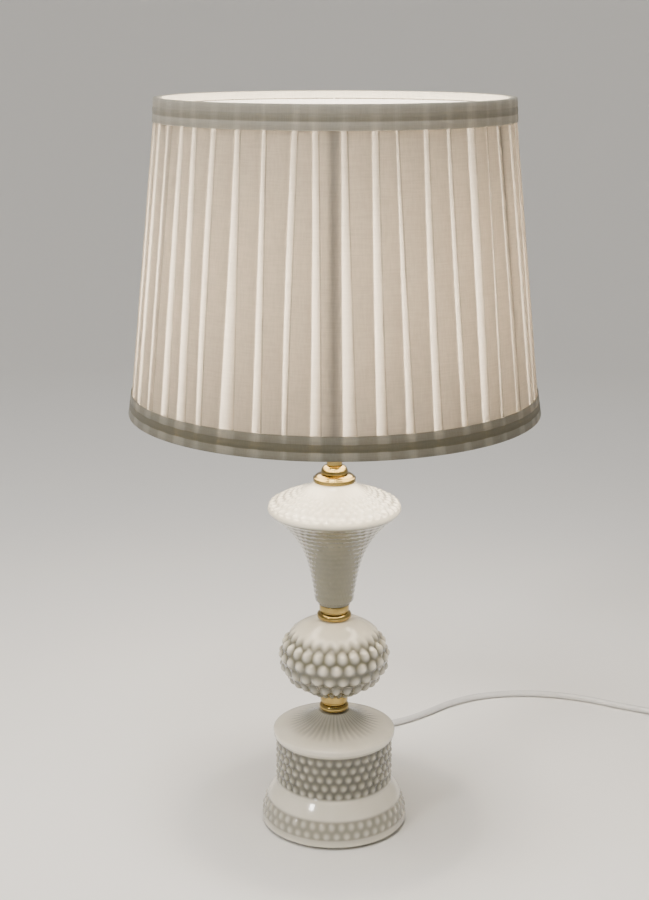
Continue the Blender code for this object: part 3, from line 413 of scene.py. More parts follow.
def lathe(name, outer, slot, body, *replaced, inner=(), sides=96, relief=None, pool_and_shade=1.0, tone=None,
          matrix=None):
    """A turned piece from an outline of (r, z) points that goes up outside and, through inner, back down
    inside. relief(angle, r, z) says how far each point of the outer face sinks, and its attribute keeps
    that, 0 to the given share, for pooled glaze and painted shade in the recesses. tone(angle, r, z) is kept
    as another attribute, the painted shade."""
    outline = np.array([tuple(p) for p in (*outer, *inner)])
    outer = outline[:len(outer)]
    angle = np.arange(sides)[None, :] * TAU / sides
    r = np.repeat(outline[:, :1], sides, axis=1)
    z = np.repeat(outline[:, 1:], sides, axis=1)
    sunk = np.zeros_like(r)
    if relief is not None:
        n = len(outer)
        slope = np.gradient(outer, axis=0)
        slope /= np.linalg.norm(slope, axis=1)[:, None]
        sunk[:n] = relief(angle, r[:n], z[:n])
        r[:n] -= sunk[:n] * slope[:, 1:]
        z[:n] += sunk[:n] * slope[:, :1]
    points = np.stack([r * np.cos(angle), r * np.sin(angle), z], axis=-1).reshape(-1, 3)
    if matrix is not None:
        points = points @ np.array(matrix)[:3, :3].T + np.array(matrix)[:3, 3]
    on_axis = outline[0, 0] < 1e-6 and outline[-1, 0] < 1e-6
    rows = len(outline) - 1 if on_axis else len(outline)
    faces = grid_faces(rows, len(outline), sides)
    piece = add_piece(name, points.tolist(), faces, slot, body, *replaced)
    if relief is not None:
        keep(piece, "relief", pool_and_shade * sunk / sunk.max())
    if tone is not None:
        keep(piece, "tone", tone(angle, r, z))
    if on_axis:
        weld(piece.data)
    return piece


def keep(piece, name, values):
    """Stores one number for each point of a piece, for its material."""
    kept = piece.data.attributes.new(name, "FLOAT", "POINT")
    kept.data.foreach_set("value", np.asarray(values, np.float32).ravel())


def grid_faces(rows, wrap, sides):
    """Quads between rows of points that close round."""
    i, j = np.meshgrid(np.arange(rows), np.arange(sides), indexing="ij")
    up, right = (i + 1) % wrap, (j + 1) % sides
    quads = np.stack([i * sides + j, i * sides + right, up * sides + right, up * sides + j], axis=-1)
    return quads.reshape(-1, 4).tolist()


def weld(mesh):
    """Joins the points that meet on the axis."""
    bm = bmesh.new()
    bm.from_mesh(mesh)
    bmesh.ops.remove_doubles(bm, verts=bm.verts, dist=0.001 * MM)
    bm.to_mesh(mesh)
    bm.free()


def loft(name, sections, slot, body, *replaced):
    """A closed piece through sections, each a loop of as many points, with flat ends."""
    sides = len(sections[0])
    faces = grid_faces(len(sections) - 1, len(sections), sides)
    last = (len(sections) - 1) * sides
    faces += [list(range(sides))[::-1], list(range(last, last + sides))]
    return add_piece(name, [tuple(p) for loop in sections for p in loop], faces, slot, body, *replaced)


def tube(name, points, radius, slot, body, *replaced):
    """A round bar, wire or cord along these points."""
    curve = bpy.data.curves.new(name, "CURVE")
    curve.dimensions = "3D"
    curve.bevel_depth = radius
    curve.bevel_resolution = 5
    curve.use_fill_caps = True
    spline = curve.splines.new("POLY")
    spline.points.add(len(points) - 1)
    for at, point in zip(spline.points, points):
        at.co = (*point, 1)
    spline.use_smooth = True
    return settle(name, curve, slot, body, *replaced)


def turned_box(node):
    """A turned node's lowest and highest z and its largest radius."""
    low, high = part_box(node)
    return low.z, high.z, max(high.x, high.y)


def ease(value, start, end):
    """0 before start, 1 after end, smooth between. start may be above end."""
    t = np.clip((value - start) / (end - start), 0, 1)
    return t * t * (3 - 2 * t)


def heading(angle):
    """A level unit vector."""
    return Vector((cos(angle), sin(angle), 0))


# ---- camera and cord


def make_camera():
    data = bpy.data.cameras.new("camera")
    data.lens = CAMERA_LENS
    camera = add_object("camera", data)
    camera.location = CAMERA_AT
    camera.rotation_euler = (CAMERA_PITCH, 0, 0)
    bpy.context.scene.camera = camera


def coil_points():
    """The coil's centreline: in along the low layer, up, and out again along the high layer, clockwise."""
    low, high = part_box("cord_coil")
    centre = (low + high) / 2
    outer = (high.x - low.x) / 2 - CORD_D / 2
    turns = COIL_LOW_TURNS + COIL_HIGH_TURNS
    steps = round(30 * turns)
    points = []
    for i in range(steps + 1):
        turn = turns * i / steps
        depth = min(turn, 2 * COIL_LOW_TURNS - turn)
        angle = COIL_ENTRY - TAU * turn
        up = float(ease(turn, COIL_LOW_TURNS - COIL_CLIMB, COIL_LOW_TURNS + COIL_CLIMB))
        at = centre + (outer - CORD_D * depth) * heading(angle)
        at.z = CORD_D / 2 + 0.3 * MM + CORD_D * up
        points.append(at)
    return points


def switch_place():
    """The switch's centre on the table, its heading and its top."""
    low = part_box("switch_lower")
    centre = (low[0] + low[1]) / 2
    return Vector((centre.x, centre.y, 0)), COIL_ENTRY - pi / 2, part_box("switch_upper")[1].z


def plug_place():
    """Where the cord enters the plug's sleeve, and the plug's heading."""
    away = COIL_ENTRY - TAU * (COIL_LOW_TURNS + COIL_HIGH_TURNS) - pi / 2
    low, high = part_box("plug_body")
    return (low.z + high.z) / 2, away


def make_cord():
    """One free cord from the strain relief through the switch and the coil to the plug."""
    switch, along_angle, top = switch_place()
    along = heading(along_angle)
    middle = Vector((0, 0, top / 2))
    coil = coil_points()
    to_end = along * SWITCH_SIZE[0] / 2
    near, far = switch - to_end + middle, switch + to_end + middle
    sink = Vector((0, 0, 0.8 * (top / 2 - CORD_D / 2)))
    plug_z, away_angle = plug_place()
    away = heading(away_angle)
    tail_end = coil[-1] + away * TAIL_LENGTH
    tail_end.z = plug_z
    lead = coil[0] - along * 2 * math.sqrt(COIL_RUN_IN * CORD_D / 2)
    straight, rise = along * 4 * MM, along * CLAMP_LENGTH + sink
    points = [Vector(p) for p in CORD_ROUTE]
    points += [near - rise, near - straight, near, switch + middle, far, far + straight]
    points += [far + along * CLAMP_LENGTH - sink, lead]
    points += coil[:-1:3] + [coil[-1], tail_end - away * 4 * MM, tail_end, tail_end + away * 10 * MM]
    cord = tube("mains_cord", smooth(points, 4 * MM), CORD_D / 2, "cord_jacket", "root",
                "cord_run", "cord_lead", "cord_coil", "cord_tail")
    return cord, tail_end, away_angle


make_camera()
CORD, PLUG_START, PLUG_HEADING = make_cord()


# ---- ceramic column


def studs(angle, across, rows, count, half_row, narrow=2.0):
    """How much of a stud stands at each point, 0 to 1: rows at these places, each turned half a stud from
    the last. The studs of a row taper to nothing where they meet if narrow is 2, and less if it's lower."""
    most = np.zeros(np.broadcast(angle, across).shape)
    for i, row in enumerate(rows):
        turn = angle * count / TAU + 0.5 * (i % 2)
        sideways = narrow * (turn - np.round(turn))
        along = (across - row) / half_row
        distance = np.minimum(np.hypot(sideways, along), 1.0)
        most = np.maximum(most, 0.5 + 0.5 * np.cos(pi * distance))
    return most


def band(value, low, high, soft):
    """1 between low and high, falling to 0 over a soft edge."""
    return ease(value, low - soft, low) * ease(value, high + soft, high)


def base_relief(angle, r, z):
    """Two rows of studs on the foot, five on the drum, and fine flutes on the cone."""
    foot = (1 - studs(angle, z, FOOT_ROWS, FOOT_STUDS, 4.6 * MM)) * band(z, *FOOT_BAND, 2.5 * MM)
    drum = (1 - studs(angle, z, DRUM_ROWS, DRUM_STUDS, 4.7 * MM)) * band(z, *DRUM_BAND, 2.5 * MM)
    flutes = (0.5 - 0.5 * np.cos(FLUTES * angle)) * band(r, *FLUTE_RADII, 8 * MM)
    flutes = flutes * ease(z, LIP_TOP + 2 * MM, LIP_TOP + 4 * MM)
    return FOOT_DEPTH * foot + DRUM_DEPTH * drum + FLUTE_DEPTH * flutes


def base_painted_shade(angle, r, z):
    """Painted shade on the drum's side, on the studs of the foot and low on the cone where the ball shades
    it, and a little below the cone's top.
    """
    drum = 0.36 * band(z, 40 * MM, 77 * MM, 3 * MM)
    foot = 0.22 * band(z, 9 * MM, 23 * MM, 3 * MM)
    cone = 0.42 * ease(r, 36 * MM, 20 * MM) * ease(z, LIP_TOP, LIP_TOP + 4 * MM)
    return drum + foot + cone + 0.14 * ease(z, LIP_TOP, LIP_TOP - 6 * MM)


def make_base():
    low, high, foot_r = turned_box("base_shell")
    drum_r, lip_r, seat_r = 50.2 * MM, 52.1 * MM, 13.0 * MM
    drum_hollow, foot_hollow = 45.2 * MM, foot_r - 5 * MM
    side_z, foot_top, drum_top = 7.9 * MM, low + 34.1 * MM, 79.0 * MM
    foot = low_corner(foot_r, low, 2 * MM, 7)
    steps = 30
    for i in range(steps + 1):
        t = i / steps
        foot.append((drum_r + (foot_r - drum_r) * (1 - t**1.75), side_z + (foot_top - side_z) * t))
    drum = wall(drum_r, foot_top, drum_top, 56)[1:]
    lip = arc((lip_r - 1.6 * MM, drum_top + 1.9 * MM), 1.6 * MM, -80, 0)
    lip += arc((lip_r - 2 * MM, drum_top + 4.0 * MM), 2 * MM, 0, 80)
    slope = ((0.90, 85.9), (0.77, 87.1), (0.62, 89.2), (0.48, 92.1), (0.34, 96.6))
    cone = [lip[-1], *((share * lip_r, z * MM) for share, z in slope), (seat_r, high)]
    inner = [(ROD_R, high), (ROD_R, high - 8 * MM), (drum_hollow, drum_top), (drum_hollow, foot_top),
             (foot_hollow, low + 12 * MM), (foot_hollow, low)]
    outer = foot + drum + lip + smooth(cone, 1.4 * MM)[1:]
    lathe("column_base", outer, "ceramic_glaze", "root", "base_shell", inner=inner, sides=400,
          relief=base_relief, tone=base_painted_shade)


def make_felt():
    low, high, radius = turned_box("felt_pad")
    outline = [(0, low)] + arc((radius - 0.4 * MM, low + 0.5 * MM), 0.4 * MM, -90, 0, 4, 0.5 * MM)
    outline += high_corner(radius, high, 0.3 * MM, 4) + [(0, high)]
    return lathe("felt_disc", outline, "felt", "root", "felt_pad", sides=120)


def ball_relief(angle, r, z):
    most = studs(angle - BALL_TURN, z, BALL_ROWS, BALL_STUDS, 6.6 * MM, 1.75)
    return BALL_DEPTH * (1 - most) * band(z, *BALL_BAND, 6 * MM)


def make_ball():
    low, high, radius = turned_box("ball")
    half_h, low_r, high_r, thick = 35 * MM, 11.8 * MM, 14.1 * MM, 5 * MM
    low_angle, high_angle = -math.degrees(math.acos(low_r / radius)), math.degrees(math.acos(high_r / radius))
    centre = low - half_h * sin(radians(low_angle))
    outer = arc((0, centre), radius, low_angle, high_angle, 130, half_h)
    inner = arc((0, centre), radius - thick, 82, -82, 9, half_h - thick)
    inner = [(ROD_R, high)] + inner + [(ROD_R, low)]
    # The tone is painted shade, darker down the lower half of the ball.
    lathe("column_ball", outer, "ceramic_glaze", "root", "ball", inner=inner, sides=400,
          relief=ball_relief, tone=lambda angle, r, z: 0.62 * ease(z, 162 * MM, 124 * MM))


def trumpet_relief(angle, r, z):
    """Fine rows up the flare, and on the disc coarse studs at the rim and rows that shrink from there to
    the cap."""
    grooves = 0.5 - 0.5 * np.cos(TAU * (z - FLARE_ROWS[0]) / FLARE_PITCH)
    flare = 0.55 * grooves + 0.45 * (1 - studs(angle, z, FLARE_ROWS, RIM_STUDS, 2.7 * MM))
    flare = flare * band(z, *FLARE_BAND, 3 * MM) * (0.5 + 0.5 * ease(r, 15 * MM, 45 * MM))
    steps = np.log(r / DISC_FIRST_R) / math.log(DISC_SHRINK)
    disc = (1 - studs(angle, steps, range(6), RIM_STUDS, 0.58)) * ease(z, *DISC_EDGE)
    disc = disc * ease(r, 21 * MM, 34 * MM)
    return FLARE_DEPTH * flare + DISC_DEPTH * disc * (r / DISC_FIRST_R)


def make_trumpet():
    low, high, rim_r = turned_box("trumpet")
    neck_r, flare_low_r, flare_up_r, flare_h = 13.7 * MM, 16.2 * MM, 53.3 * MM, 76.5 * MM
    flare_z = low + 3.0 * MM
    outer = [(neck_r, low), (neck_r, low + 2.0 * MM)]
    outer += arc((flare_low_r - 1.2 * MM, flare_z + 0.6 * MM), 1.2 * MM, -90, 0, 5, 0.9 * MM)
    steps = 118
    for i in range(2, steps + 1):
        t = i / steps
        r = flare_low_r + (flare_up_r - flare_low_r) * (0.3 * t + 0.7 * t**3.45)
        outer.append((r, flare_z + flare_h * t))
    rim_z = flare_z + flare_h
    rim_top_r, rim_top, seat_r = 54.6 * MM, rim_z + 6.6 * MM, 17.8 * MM
    outer += smooth([outer[-1], (rim_r, rim_z + 3.5 * MM), (rim_top_r, rim_top)], 0.8 * MM)[1:]
    steps = 60
    for i in range(1, steps + 1):
        s = 1 - i / steps
        r = seat_r + (rim_top_r - seat_r) * s * s * (3 - 2 * s)
        outer.append((r, rim_top + (high - rim_top) * (1 - s)))
    inner = [(ROD_R, high), (ROD_R, high - 7 * MM), (13 * MM, high - 7 * MM),
             (28 * MM, rim_top + 7 * MM), (46 * MM, rim_top - 2 * MM), (31 * MM, low + 61 * MM),
             (15 * MM, low + 30 * MM), (11 * MM, low + 7 * MM), (ROD_R, low + 6 * MM), (ROD_R, low)]
    # The tone is a painted shadow on the flare under the disc's rim.
    lathe("column_trumpet", outer, "ceramic_glaze", "root", "trumpet", inner=inner, sides=429,
          relief=trumpet_relief, pool_and_shade=0.4, tone=lambda angle, r, z: ease(z, 280.5 * MM, 277 * MM))


# ---- brass


def make_collar(name, node, bead_h, ring_r):
    """A turned collar: a round bead, a groove and a narrower ring with rounded edges."""
    low, high, bead_r = turned_box(node)
    bead = arc((bead_r - bead_h / 2, low + bead_h / 2), bead_h / 2, -90, 78, 18)
    groove_r, groove_z = ring_r - 1.3 * MM, low + bead_h + 1.2 * MM
    ring = [(groove_r, low + bead_h + 0.3 * MM), (groove_r, groove_z)]
    ring += low_corner(ring_r, groove_z, 1.0 * MM, 6) + high_corner(ring_r, high, 1.0 * MM, 6)
    lathe(name, bead + ring, "brass", "root", node, inner=bore(ROD_R, low, high))


def make_caps():
    """The disc, the dome and the neck on top of the column."""
    low, high, radius = turned_box("cap_disc")
    disc = low_corner(radius, low, 0.5 * MM, 4)
    disc += arc((radius - 0.8 * MM, low + 2.7 * MM), 0.8 * MM, 0, 65, 6)
    slope = [(radius - 1.0 * MM, low + 3.6 * MM), (15.2 * MM, low + 5.2 * MM), (12.4 * MM, high)]
    disc += smooth(slope, 0.5 * MM) + arc((11.8 * MM, high - 0.4 * MM), 0.4 * MM, 60, 90, 3)
    lathe("brass_cap", disc, "brass", "root", "cap_disc", inner=bore(ROD_R, low, high))
    low, high, radius = turned_box("cap_dome")
    dome = low_corner(radius, low, 0.6 * MM)
    dome += arc((6.5 * MM, low + 1.2 * MM), radius - 6.5 * MM, 0, 90, 16, high - low - 1.2 * MM)
    lathe("brass_dome", dome, "brass", "root", "cap_dome", inner=bore(ROD_R, low, high))
    low, high, radius = turned_box("neck_tube")
    neck = rounded_side(radius, low, high, 0.5 * MM)
    lathe("brass_neck", neck, "brass", "root", "neck_tube", inner=bore(ROD_R, low, high), sides=64)
# ---- holder and bulb


def screw_thread(pitch, depth, low, high):
    """A round thread between two heights."""
    return lambda angle, r, z: (
        depth * (0.5 - 0.5 * np.cos(TAU * z / pitch - angle)) * band(z, low, high, 0.8 * MM))


def ribs(count, depth, low, high):
    """Grip ribs along a ring."""
    return lambda angle, r, z: depth * (0.5 + 0.5 * np.cos(count * angle)) * band(z, low, high, 0.6 * MM)


def make_holder():
    """The holder's cup, skirt and socket, and the bulb's base and screw."""
    low, high, radius = turned_box("holder_cap")
    cap = smooth([(8.5 * MM, low), (15 * MM, low + 3 * MM), (radius - 1.5 * MM, low + 8.5 * MM),
                  (radius, low + 14 * MM)], 1.0 * MM)
    cap += high_corner(radius, high, 0.5 * MM, 4)
    inner_r = radius - 1.5 * MM
    inner = [(inner_r, high), (inner_r, low + 14 * MM), (13 * MM, low + 5 * MM), (ROD_R, low + 4 * MM),
             (ROD_R, low)]
    lathe("holder_cup", cap, "holder_plastic", "root", "holder_cap", inner=inner)
    low, high, shoulder_r = turned_box("holder_body")
    skirt_r, skirt_low = 19.8 * MM, low + 3.0 * MM
    body = rounded_side(shoulder_r, low, skirt_low, 0.6 * MM)
    body += wall(skirt_r, skirt_low, high - 1.0 * MM, 60) + [(skirt_r - 0.5 * MM, high)]
    lathe("holder_skirt", body, "holder_plastic", "root", "holder_body", inner=bore(18.3 * MM, low, high),
          relief=screw_thread(RING_PITCH, 0.7 * MM, low + 9 * MM, high - 3 * MM))
    make_screw_shell("socket_shell", "screw_socket", "brass", "root", 0.5 * MM)
    low, high, radius = turned_box("bulb_collar")
    collar = smooth([(13.1 * MM, low), (15.0 * MM, low + 8 * MM), (radius, low + 12 * MM), (radius, high)],
                    0.8 * MM)
    lathe("bulb_base", [(0, low)] + collar + [(0, high)], "holder_plastic", "bulb", "bulb_collar", sides=64)
    make_screw_shell("bulb_thread", "bulb_screw", "steel", "bulb", 0.6 * MM)


def make_screw_shell(name, node, slot, body, thick):
    """A thin shell rolled with the lamp's thread."""
    low, high, radius = turned_box(node)
    lathe(name, wall(radius, low, high, 44), slot, body, node, inner=bore(radius - thick, low, high),
          relief=screw_thread(LAMP_PITCH, 0.35 * thick, low + 2 * MM, high - 2 * MM))


def make_bulb():
    """The opal candle and its light."""
    low, high, radius = turned_box("bulb_glass")
    wide = low + 0.26 * (high - low)
    outline = smooth([(13.5 * MM, low), (15.6 * MM, low + 5 * MM), (radius - 0.4 * MM, wide - 6 * MM),
                      (radius, wide)], 1.2 * MM)
    steps = 26
    for i in range(1, steps):
        t = i / steps
        outline.append((radius * cos(0.5 * pi * t) ** 0.75, wide + (high - wide) * t))
    outline.append((0, high))
    lathe("bulb_candle", [(0, low)] + outline, "opal_glass", "bulb", "bulb_glass", "bulb_led_board", sides=64)


# ---- shade


def shade_size():
    """The cover's lowest and highest z, and its outer radius at both."""
    low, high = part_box("shade_cover")
    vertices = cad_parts["shade_cover"].data.vertices
    at_top = [math.hypot(v.co.x, v.co.y) for v in vertices if v.co.z > high.z - MM]
    return low.z, high.z, high.x, max(at_top)


SHADE_LOW, SHADE_HIGH, SHADE_LOW_R, SHADE_HIGH_R = shade_size()


def shade_radius(z):
    return SHADE_LOW_R + (SHADE_HIGH_R - SHADE_LOW_R) * (z - SHADE_LOW) / (SHADE_HIGH - SHADE_LOW)


def pleat_creases(chance):
    """For each pleat: its crease's turn at the bottom, middle and top edge, and how far the cloth goes under
    it at the bottom and top, with a seamstress's small errors."""
    creases = []
    for k in range(PLEATS):
        even = FRONT + radians(1.5) + TAU * k / PLEATS
        common = chance.gauss(0, 0.010)
        turns = [even + common + chance.gauss(0, spread) for spread in (0.008, 0.004, 0.010)]
        under = PLEAT_UNDER + chance.gauss(0, 0.05)
        creases.append((turns, [under + chance.gauss(0, 0.10), under + chance.gauss(0, 0.10)]))
    return creases


def at_height(ends, t):
    """The value at share t of the height, from two ends or from three places."""
    if len(ends) == 2:
        return ends[0] + (ends[1] - ends[0]) * t
    low, middle, high = ends
    return low * (1 - t) * (1 - 2 * t) + 4 * middle * t * (1 - t) + high * t * (2 * t - 1)


CREASES = pleat_creases(random.Random(7))


def pleat(k, t):
    """At share t of the height: pleat k's two creases and how far its cloth goes under the second."""
    before = at_height(CREASES[k - 1][0], t) - (TAU if k == 0 else 0)
    here = at_height(CREASES[k][0], t)
    return before, here, min(max(at_height(CREASES[k][1], t), 0.45), 0.86) * (here - before)


def pleat_row(t):
    """One level's way round the shade, along each panel, back under it and on to the next: each point's
    turn, rise and tone, the painted shade of the cloth there."""
    row = []
    for k in range(PLEATS):
        before, here, under = pleat(k, t)
        single = 1 - under / (here - before)
        face = [(single * share, tone) for share, tone in SINGLE_PAINTED_SHADE]
        face += [(single + (1 - single) * share, tone) for share, tone in FOLDED_PAINTED_SHADE]
        row += [(before + (here - before) * s, 0.06 + 0.94 * s**0.75, tone) for s, tone in face]
        row.append((here + 0.004, 0.86, 0.1))
        row += [(here - under * s, 0.74 - 0.48 * s, 0.5) for s in (0.05, 0.35, 0.65, 0.93)]
        row.append((here - under - 0.003, 0.16, 0.5))
        row += [(here - under * s, 0.02, 0.5) for s in (0.97, 0.7, 0.35, 0.12)]
    return row


def layers(angle, t):
    """0 where the cover is one cloth thick at share t of its height, 1 where it is three."""
    thick = np.ones_like(angle)
    for k in range(PLEATS):
        before, here, under = pleat(k, t)
        half = (here - under - before) / 2
        away = np.abs((angle - before - half + pi) % TAU - pi)
        thick = np.minimum(thick, ease(away, half - 0.006, half + 0.006))
    return thick


def strut_painted_shadow(turn):
    """Painted shadow of a strut on the cover: a soft dark band beside each strut."""
    away = math.remainder(turn - FRONT + radians(0.8), TAU / STRUTS)
    return 0.38 * math.exp(-((away / radians(1.1)) ** 2))


def make_cover():
    """The pleated cover, one strip of cloth folded into knife pleats and pulled over the wire frame."""
    levels = 26
    points, painted_shades = [], []
    for i in range(levels + 1):
        t = i / levels
        z = SHADE_LOW + 0.4 * MM + (SHADE_HIGH - SHADE_LOW - 0.8 * MM) * t
        for turn, rise, tone in pleat_row(t):
            r = shade_radius(z) - PLEAT_RISE * (1 - rise)
            points.append((r * cos(turn), r * sin(turn), z))
            # painted shade: the pleats' own, the struts' painted shadows, and more towards the bottom of the
            # shade
            painted_shades.append(tone + strut_painted_shadow(turn) + 0.15 * (1 - t) ** 2)
    across = len(points) // (levels + 1)
    faces = grid_faces(levels, levels + 1, across)
    cover = add_piece("pleated_cover", points, faces, "pleated_fabric", "shade", "shade_cover")
    keep(cover, "tone", painted_shades)
    return cover


def make_lining():
    low, high = (corner.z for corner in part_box("shade_lining"))
    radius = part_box("shade_lining")[1].x
    slope = (SHADE_HIGH_R - SHADE_LOW_R) / (SHADE_HIGH - SHADE_LOW)
    levels, sides = 12, 120
    points = []
    for i in range(levels + 1):
        z = low + (high - low) * i / levels
        for j in range(sides):
            r = radius + slope * (z - low) - 0.4 * MM
            points.append((r * cos(TAU * j / sides), r * sin(TAU * j / sides), z))
    return add_piece("shade_inner_lining", points, grid_faces(levels, levels + 1, sides), "lining", "shade",
                     "shade_lining")


def make_trim(name, node, top_edge):
    """A folded satin ribbon: three strips outside, lapped like tiles, rolled over the edge to the inside."""
    low, high = (corner.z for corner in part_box(node))
    sign = 1 if top_edge else -1
    edge, other = (high, low) if top_edge else (low, high)

    def at(out, along):
        """out from the cover's face, and along from the edge towards the shade's middle."""
        z = edge - sign * along
        return (shade_radius(z) + out, z)

    height = abs(edge - other)
    lap_1, lap_2 = 0.36 * height, 0.66 * height
    outside = [at(0.5 * MM, height), at(0.9 * MM, height - 0.2 * MM)]
    for near, far, out in ((lap_2, height, 1.05), (lap_1, lap_2, 1.3), (0.0, lap_1, 1.55)):
        outside += [at((out - 0.35) * MM, far - 0.5 * MM), at((out - 0.1) * MM, (near + far) / 2 + 0.5 * MM),
                    at(out * MM, near + 0.9 * MM), at((out - 0.2) * MM, near + 0.35 * MM)]
    outline = outside + [at(out * MM, along * MM) for out, along in TRIM_ROLL + TRIM_BACK]
    if not top_edge:
        outline.reverse()

    def tone(angle, r, z):
        """Painted shade: the ribbon's outside darker than its lit inside, the lower ribbon more than the top
        one, more where folded double, and painted pleat shadows where the pleats under it are three cloths
        thick.
        """
        along = sign * (edge - z)
        doubled = band(along, lap_1, lap_2 - 0.4 * MM, 0.3 * MM) + 0.6 * ease(along, 0.9 * MM, 0.0)
        painted_outside_shade = (r > shade_radius(z)) * (0.36 if top_edge else 0.62)
        return painted_outside_shade * (1 + 0.7 * doubled + 0.3 * layers(angle, 1.0 if top_edge else 0.0))

    return lathe(name, outline, "ribbon", "shade", node, sides=360, tone=tone)


def make_shade_wires():
    """The rings, struts and arms of the shade's frame, and its fitter ring."""
    for name, node in (("bottom_wire", "bottom_ring"), ("top_wire", "top_ring")):
        low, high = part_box(node)
        wire_r, middle = (high.z - low.z) / 2, (low.z + high.z) / 2
        section = arc((shade_radius(middle) - WIRE_INSET, middle), wire_r, -180, 150, 12)
        lathe(name, section, "wire", "shade", node, sides=144)
    top_z, bottom_z = SHADE_HIGH - 1.5 * MM, SHADE_LOW + 1.5 * MM
    for i in range(STRUTS):
        way = heading(FRONT + TAU * i / STRUTS)
        ends = [way * (shade_radius(z) - WIRE_INSET) + Vector((0, 0, z)) for z in (bottom_z, top_z)]
        tube(f"strut_wire_{i + 1}", ends, 1.0 * MM, "wire", "shade", f"strut_{i + 1}")
    low, high, fitter_r = turned_box("fitter_ring")
    hole_r, chamfer_r, chamfer = 20.6 * MM, 20.9 * MM, 0.4 * MM
    inner = [(chamfer_r, high), *bore(hole_r, low + chamfer, high - chamfer), (chamfer_r, low)]
    lathe("fitter", rounded_side(fitter_r, low, high, 1.0 * MM), "wire", "shade", "fitter_ring", inner=inner)
    for i in range(ARMS):
        way = heading(FRONT + TAU * i / ARMS)
        start = way * (fitter_r - 1.0 * MM) + Vector((0, 0, (low + high) / 2))
        end = way * (shade_radius(bottom_z) - 4.4 * MM) + Vector((0, 0, bottom_z))
        tube(f"arm_wire_{i + 1}", [start, end], 1.2 * MM, "wire", "shade", f"fitter_arm_{i + 1}")


def make_shade_ring():
    low, high, radius = turned_box("shade_ring")
    edge = 0.8 * MM
    side = low_corner(radius, low, edge) + wall(radius, low + edge, high - edge, 16)[1:-1]
    side += high_corner(radius, high, edge)
    relief = ribs(GRIP_RIBS, 0.45 * MM, low + 2 * edge, high - 2 * edge)
    lathe("shade_nut", side, "brass", "shade_ring", "shade_ring", inner=bore(20.2 * MM, low, high), sides=288,
          relief=relief)


# ---- switch, plug and strain relief


def rounded_loop(length, width, corner, z):
    """A round-cornered rectangle's points at height z, counter-clockwise seen from above."""
    points = []
    for quarter, (sx, sy) in enumerate(((1, 1), (-1, 1), (-1, -1), (1, -1))):
        centre = (sx * (length / 2 - corner), sy * (width / 2 - corner))
        points += arc(centre, corner, 90 * quarter, 90 * quarter + 90, 6)
    return [Vector((x, y, z)) for x, y in points]


def rounded_stack(length, width, corner, low, high, low_edge, high_edge):
    """Loops of a flat box from low to high, with rounded edges of these radii."""
    loops = []
    for edge, z, start in ((low_edge, low + low_edge, -90), (high_edge, high - high_edge, 0)):
        for inset, rise in arc((0, 0), edge, start, start + 90, 6):
            shrink = edge - inset
            rounding = max(corner - shrink, 0.4 * MM)
            loops.append(rounded_loop(length - 2 * shrink, width - 2 * shrink, rounding, z + rise))
    return loops


def moved(loops, matrix):
    return [[matrix @ point for point in loop] for loop in loops]


def cut(target, cutter):
    """Takes the cutter's shape out of target and removes the cutter."""
    boolean = target.modifiers.new("cut", "BOOLEAN")
    boolean.operation = "DIFFERENCE"
    boolean.object = cutter
    bpy.context.view_layer.update()
    graph = bpy.context.evaluated_depsgraph_get()
    result = bpy.data.meshes.new_from_object(target.evaluated_get(graph))
    target.modifiers.clear()
    target.data = result
    bpy.data.objects.remove(cutter)
    target.data.shade_smooth()
    target.data.set_sharp_from_angle(angle=radians(38))


def make_switch():
    """The in-line switch: two crowned halves with a seam, and the rocker in its window."""
    centre, along, top = switch_place()
    place = Matrix.Translation(centre) @ Matrix.Rotation(along, 4, "Z")
    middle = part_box("switch_lower")[1].z
    lower = rounded_stack(*SWITCH_SIZE, SWITCH_GAP, middle, 2.0 * MM, 0.4 * MM)
    loft("switch_base", moved(lower, place), "switch_plastic", "root", "switch_lower")
    upper = rounded_stack(*SWITCH_SIZE, middle + SWITCH_GAP, top, 0.4 * MM, 3.2 * MM)
    lid = loft("switch_lid", moved(upper, place), "switch_plastic", "root", "switch_upper")
    window = rounded_stack(*WINDOW_SIZE, top - 6 * MM, top + 2 * MM, 0.2 * MM, 0.2 * MM)
    cut(lid, loft("window_cutter", moved(window, place), "switch_plastic", "root"))
    make_rocker(place)


def make_rocker(place):
    """The rocker: a saddle across two finger rests, tilted to the side that is pressed."""
    pivot = Matrix.Translation((0, 0, ROCKER_PIVOT_Z)) @ Matrix.Rotation(ROCKER_TILT, 4, "Y")
    half, crest, dip, rounding = 10 * MM, 6.4 * MM, 1.2 * MM, 0.9 * MM
    steps = 14
    sections = []
    for i in range(steps + 1):
        share = 2 * i / steps - 1
        rise = crest - dip * (1 - share * share) - rounding * abs(share) ** 12
        sections.append([Vector(((half - 1.0 * MM) * share, y, z)) for y, z in rocker_section(rise)])
    loft("rocker", moved(sections, place @ pivot), "rocker_plastic", "switch_rocker", "switch_rocker")


def rocker_section(top):
    """The rocker's cross-section, rounded along its top edges."""
    half, bottom = 5.5 * MM, -1.0 * MM
    right = [(half, bottom)] + high_corner(half, top, 0.8 * MM, 4)
    return right + [(-y, z) for y, z in reversed(right)]


